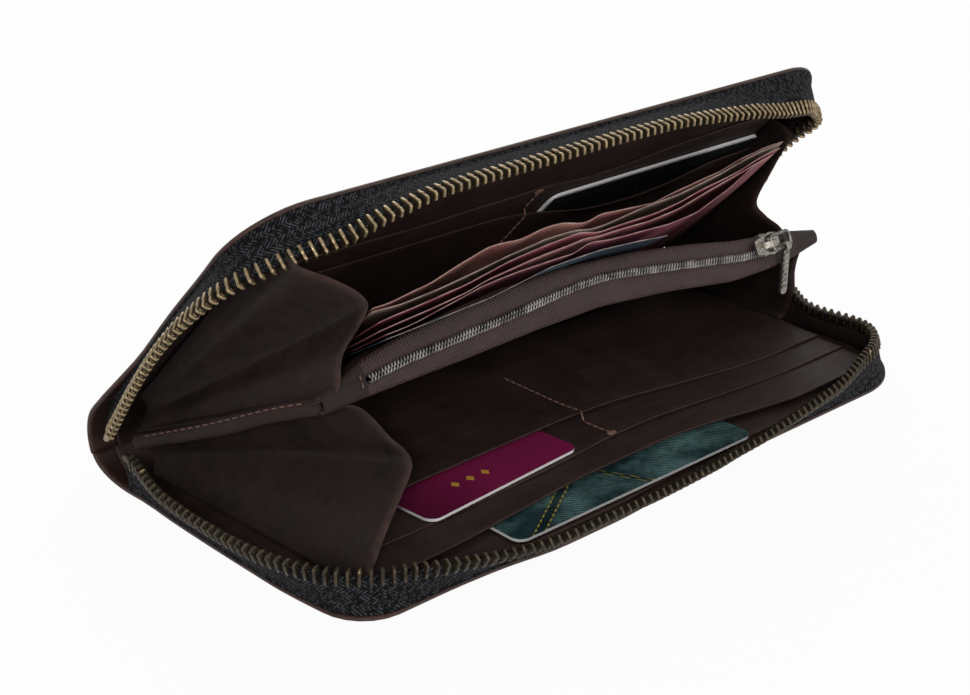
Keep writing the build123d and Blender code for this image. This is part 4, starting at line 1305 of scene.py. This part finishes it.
# ---------------------------------------------------------------- gussets
GUSSETS = {
    "left_upper": ([(-95.5, -7.3, 78.0), (-96.4, -15.0, 77.6), (-96.2, -20, 76.1), (-89, -21, 72),
                    (-83.7, -23, 68.3), (-81.5, -24, 65.7), (-81.4, -24.5, 63.9),
                    (-83.7, -24.5, 60.5), (-87.7, -24, 55.5), (-88.5, -23.5, 51.9),
                    (-88.5, -23, 46.9), (-89.2, -22, 44.3), (-93.3, -21, 43.2)],
                   [(-98, 45.2, 23.6), (-97, 44, 19.5), (-101, 43, 14.6)]),
    "left_lower": ([(-95.5, -39.5, 4.0), (-94, -40.5, 10), (-90.2, -40, 16.6),
                    (-83.3, -37, 21.7), (-78.2, -34.5, 25.2), (-76.3, -33, 27.3),
                    (-77, -31.5, 30), (-79.3, -29, 33.1), (-81.2, -26, 36.9),
                    (-83.4, -23.5, 39.8), (-86.5, -22, 40.9), (-92.8, -21, 41.6)],
                   [(-98, 42, 2.4), (-97, 42, 8), (-101, 43, 12.6)]),
    "right_upper": ([(96.2, 6.0, 66.0), (96.2, -1, 62.5), (85.1, -5, 56.4), (70.3, -11, 50.8),
                     (70.6, -14, 47.1), (74.2, -16, 43.8), (77.5, -18, 40.2), (85.6, -20, 38.6)],
                    [(98, 45.2, 23.6), (99.5, 47, 18.5), (103, 50, 9)]),
    "right_lower": ([(99, -1, 3.0), (100.4, -2, 5.9), (97.7, -6, 14.7), (89.3, -12, 25.1),
                     (82.8, -18, 34), (83.4, -19.4, 36.6), (86.0, -20, 37.6)],
                    [(98, 42, 2.4), (97, 42, 8), (100, 43, 12.6)]),
}


def gusset_sheet(name, front, back, bulge, seed):
    """A folded side of soft leather between its front edge and the spine."""
    rows = 60
    front, back = spline(front, rows), spline(back, rows)
    share = np.linspace(0, 1, 28)[None, :, None]
    sheet = front[:, None, :] * (1 - share) + back[:, None, :] * share
    side = np.sign(front[:, 0].mean())
    across = np.linspace(0, 1, rows)[:, None]
    fold = np.sin(np.pi * across) * np.sin(np.pi * share[..., 0] ** 0.8)
    sheet[..., 0] -= side * bulge * fold
    sheet[..., 0] += side * 0.5 * ripple(sheet[..., 1], sheet[..., 2], 26.0, seed) * fold
    normal = np.cross(np.gradient(sheet, axis=0), np.gradient(sheet, axis=1))
    normal /= np.maximum(np.linalg.norm(normal, axis=2), 1e-6)[..., None]
    run_in = np.linalg.norm(sheet - sheet[:, :1], axis=2)
    half = np.clip(0.52 - rolled(run_in, 0.5), 0.05, 0.5)[..., None]
    # the wear value of 1.6 at the free edge paints its paler line, partly wear and partly a
    # painted highlight along the edge
    return thick_sheet(name, sheet - normal * half, sheet + normal * half, sheet[..., 1:],
                       1.6 * np.exp(-run_in / 0.6))


class WALLET_OT_gussets(Operator):
    """Make the folded leather sides between the covers and the coin pocket"""
    bl_idname = "wallet.gussets"
    bl_label = "Gussets"

    def execute(self, context):
        for seed, (name, (front, back)) in enumerate(GUSSETS.items()):
            sheet = gusset_sheet(name + "_fold", front, back, 3.0, seed)
            dress(sheet, "gusset", name + "_gusset")
            if name.endswith("lower"):
                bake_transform(sheet)
            else:
                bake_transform(sheet)
        return {"FINISHED"}


# ---------------------------------------------------------------- banknotes
NOTE_SEAT = 31.5                        # angle at which the notes leave their fold, degrees
NOTE_FOLD = (34.6, 18.4)                # y and z of the fold
# reach from the fold, then the free edge's angle above the fold along x, in mm and degrees
NOTES = (
    (70.5, ((-77, 31.7), (-73, 31.7), (-60, 32.1), (-45, 32.6), (-35, 33.5), (-24, 34.5),
            (-6, 34.7), (8, 33.8), (17.5, 33))),
    (71.0, ((-77, 32.3), (-73, 32.4), (-67, 32.8), (-54, 34.3), (-46, 35.2), (-33, 35.7),
            (-15, 35.6), (-9, 36.7), (-3, 36), (9, 35.6), (19, 35.1), (31, 35.5), (38, 36.9),
            (46, 38.4), (53, 40.2), (60, 41.7), (63, 42))),
    (72.0, ((-79, 33.3), (-76, 33.5), (-63, 34.2), (-51, 35), (-44, 36), (-30, 36.8),
            (-16, 37.3), (-11, 37.6), (-6, 37.1), (12, 36.9), (24, 37.4), (37, 39.1),
            (51, 40.7), (60, 41.7), (66, 42.2))),
    (72.8, ((-79, 34.6), (-76, 34.9), (-63, 35.5), (-50, 36.4), (-37, 37.9), (-23, 38.6),
            (-12, 38.8), (-7, 37.8), (3, 37.9), (16, 37.9), (24, 38.4), (33, 39.4),
            (50, 40.9), (60, 42.4), (69, 43))),
    (72.2, ((-79, 37.0), (-71, 36.6), (-59, 37.1), (-46, 38), (-34, 39.1), (-23, 39.8),
            (-13, 39.6), (-8, 38.9), (-3, 38.9), (10, 39.6), (26, 40.2), (43, 41.5),
            (52, 42.7), (61, 43.6), (71, 44))),
    (71.5, ((-78, 37.6), (-73, 37.6), (-60, 38.7), (-53, 39.8), (-40, 41.8), (-34, 41.7),
            (-30, 41.4), (-21, 42.1), (-15, 42), (-9, 40.5), (-6, 40.6), (-2, 41.3),
            (5, 40.8), (17, 40.2), (27, 41.1), (44, 42.2), (54, 43.5), (65, 44.3), (73, 44.4))),
)


def banknote(name, reach, stations, place, seed):
    """One note: it fans up from its fold and waves along its free edge."""
    x = np.linspace(stations[0][0], stations[-1][0], 130)[:, None]
    run = np.linspace(0, 1, 30)[None, :]
    angle = through(stations, x, 1.2)
    lift = np.radians(NOTE_SEAT + (angle - NOTE_SEAT) * np.sqrt(run))
    x, distance = x + 0 * run, reach * run + 0 * x
    y = NOTE_FOLD[0] - distance * np.cos(lift)
    z = NOTE_FOLD[1] + 0.2 * place + distance * np.sin(lift)
    crumple = 0.12 * ripple(x, distance, 21.0, seed + 5) * run
    front = np.stack([x, y, z + crumple], -1)
    normal = np.cross(np.gradient(front, axis=0), np.gradient(front, axis=1))
    normal *= 0.07 / np.linalg.norm(normal, axis=2)[..., None]
    return thick_sheet(name, front + normal, front - normal, np.stack([x, reach - distance], -1))


class WALLET_OT_banknotes(Operator):
    """Make the banknotes that stand in the note compartment"""
    bl_idname = "wallet.banknotes"
    bl_label = "Banknotes"

    def execute(self, context):
        for number, (reach, stations) in enumerate(NOTES, start=1):
            note = banknote("note_%d" % number, reach, stations, number / 6, number)
            note.data.materials.append(
                banknote_paper(NOTE_TINTS[number - 1], "banknote_paper_%d" % number))
            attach(note, "banknotes")
            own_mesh(note)
            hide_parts("banknote_%d" % min(number, 5))
        return {"FINISHED"}


class WALLET_OT_cards(Operator):
    """Give the three cards their printed faces"""
    bl_idname = "wallet.cards"
    bl_label = "Cards"

    def execute(self, context):
        for name in ("white_card", "magenta_card", "denim_card"):
            dress_node(name, name, 0.12)
        return {"FINISHED"}


class WALLET_OT_main_pull(Operator):
    """Give the main zip's slider and its pull their metal"""
    bl_idname = "wallet.main_pull"
    bl_label = "Main slider and pull"

    def execute(self, context):
        for name in ("main_slider_body", "main_slider_crown", "main_pull_link", "main_pull_tab"):
            dress_node(name, "nickel", 0.2)
        return {"FINISHED"}


# ---------------------------------------------------------------- stage
def area_light(name, place, target, size, power):
    """A soft lamp at a place, in metres, turned to a target."""
    light = bpy.data.lights.new(name, "AREA")
    light.shape = "RECTANGLE"
    light.size, light.size_y = size
    light.energy = power
    lamp = bpy.data.objects.new(name, light)
    lamp.location = place
    lamp.rotation_euler = (Vector(target) - Vector(place)).to_track_quat("-Z", "Y").to_euler()
    bpy.context.scene.collection.objects.link(lamp)


def seen_share(add):
    """One for what the eye or a reflection sees, and nought for what lights the wallet."""
    return add("Math", add("LightPath", output="Is Camera Ray"),
               add("LightPath", output="Is Glossy Ray"), operation="MAXIMUM")


class WALLET_OT_stage(Operator):
    """Make the floor, the lamps and the camera"""
    bl_idname = "wallet.stage"
    bl_label = "Floor, lamps and camera"

    def execute(self, context):
        points = [(x, y, -0.35) for x in (-3000, 3000) for y in (-3000, 3000)]
        floor = mesh_object("studio_floor", points, [(0, 2, 3, 1)])
        material, add = start_material("matt_white_paper")
        # it glows white where it is seen, but for the share of paper that takes the shadow
        seen = add("Math", seen_share(add), 0.95, operation="MULTIPLY")
        paper = add("BsdfPrincipled", {"Base Color": "#f6f6f6", "Roughness": 0.9,
                                       "Specular IOR Level": 0.1})
        glow = add("Emission", {"Color": "#ffffff", "Strength": 1.0})
        add("OutputMaterial", {"Surface": add("MixShader", seen, paper, glow)})
        floor.data.materials.append(material)
        context.scene.world, add = start_nodes(bpy.data.worlds.new("studio"))
        seen = seen_share(add)
        white = add("Background", {"Color": "#ffffff", "Strength": 1.0})
        soft = add("Background", {"Color": "#ffffff", "Strength": 0.42})
        add("OutputWorld", {"Surface": add("MixShader", seen, soft, white)})
        target = (0.0, -0.005, 0.03)
        area_light("key", (-0.75, -0.7, 0.52), target, (0.12, 0.12), 3.6)
        area_light("fill", (0.3, -1.0, 0.25), target, (0.5, 0.35), 2.2)
        area_light("rim", (0.5, 0.7, 0.6), target, (0.7, 0.3), 3.0)
        camera_data = bpy.data.cameras.new("camera")
        camera_data.lens = 66.95
        camera_data.sensor_width = 36.0
        camera_data.clip_start = 0.01
        camera = bpy.data.objects.new("camera", camera_data)
        # where the camera stands round the point that it looks at, and how it is rolled
        azimuth, elevation, roll = (math.radians(v) for v in (-42.963, 23.802, 0.563))
        looked_at, distance = Vector((-0.02321, 0.0, 0.02927)), 0.46405
        back = Vector((math.sin(azimuth) * math.cos(elevation),
                       -math.cos(azimuth) * math.cos(elevation), math.sin(elevation)))
        right = Vector((math.cos(azimuth), math.sin(azimuth), 0.0))
        up = back.cross(right)
        right, up = (right * math.cos(roll) + up * math.sin(roll),
                     up * math.cos(roll) - right * math.sin(roll))
        place = looked_at + back * distance
        camera.matrix_world = Matrix(((right.x, up.x, back.x, place.x),
                                      (right.y, up.y, back.y, place.y),
                                      (right.z, up.z, back.z, place.z), (0, 0, 0, 1)))
        context.scene.collection.objects.link(camera)
        context.scene.camera = camera
        context.scene.view_settings.view_transform = "Standard"
        return {"FINISHED"}


# ---------------------------------------------------------------- settings, panel, main
def colour_property(name, description, default):
    """A colour that the user can change, from an sRGB hex string."""
    return FloatVectorProperty(name=name, description=description, subtype="COLOR", size=3,
                               min=0.0, max=1.0, default=linear(default)[:3])


class WalletColours(PropertyGroup):
    """Colours of the wallet's finishes"""
    outer_leather: colour_property("Outer leather", "Darkest dye of the covers", "#1a100e")
    inner_leather: colour_property("Inner leather", "Darkest dye of the inside", "#1f1513")
    tape: colour_property("Zip tape", "Raised ribs of the herringbone tape", "#4c4d51")
    pocket_tape: colour_property("Pocket tape", "Raised threads of the pocket's tape", "#5c4442")
    brass: colour_property("Brass", "Rubbed high places of the teeth", "#9a8768")
    magenta_card: colour_property("Wine card", "Lighter print of the wine card", "#86204f")
    denim_card: colour_property("Twill card", "Washed places of the twill card", "#7fa9a6")


class WalletSizes(PropertyGroup):
    """Sizes of the wallet's sewn details"""
    edge_stitch: FloatProperty(name="Edge stitch", description="Pitch of the stitches on the "
                               "covers' edges", default=0.0032, min=0.002, max=0.006,
                               unit="LENGTH")


BUILDERS = ("covers", "zip", "slots", "coin_pocket", "gussets", "banknotes", "cards",
            "main_pull", "stage")


class WALLET_PT_panel(Panel):
    """The wallet's pieces, colours and sizes"""
    bl_idname = "WALLET_PT_panel"
    bl_label = "Zip around wallet"
    bl_space_type = "VIEW_3D"
    bl_region_type = "UI"
    bl_category = "Wallet"

    def draw(self, context):
        for group in (context.scene.wallet_colours, context.scene.wallet_sizes):
            for key in group.__annotations__:
                self.layout.prop(group, key)
        for key in BUILDERS:
            self.layout.operator("wallet." + key)


CLASSES = (WalletColours, WalletSizes, WALLET_OT_covers, WALLET_OT_zip, WALLET_OT_slots,
           WALLET_OT_coin_pocket, WALLET_OT_gussets, WALLET_OT_banknotes, WALLET_OT_cards,
           WALLET_OT_main_pull, WALLET_OT_stage, WALLET_PT_panel)


def register():
    for item in CLASSES:
        bpy.utils.register_class(item)
    bpy.types.Scene.wallet_colours = PointerProperty(type=WalletColours)
    bpy.types.Scene.wallet_sizes = PointerProperty(type=WalletSizes)


def unregister():
    del bpy.types.Scene.wallet_sizes
    del bpy.types.Scene.wallet_colours
    for item in reversed(CLASSES):
        bpy.utils.unregister_class(item)


def main():
    """Build every piece."""
    register()
    for key in BUILDERS:
        getattr(bpy.ops.wallet, key)()


if __name__ == "__main__":
    main()
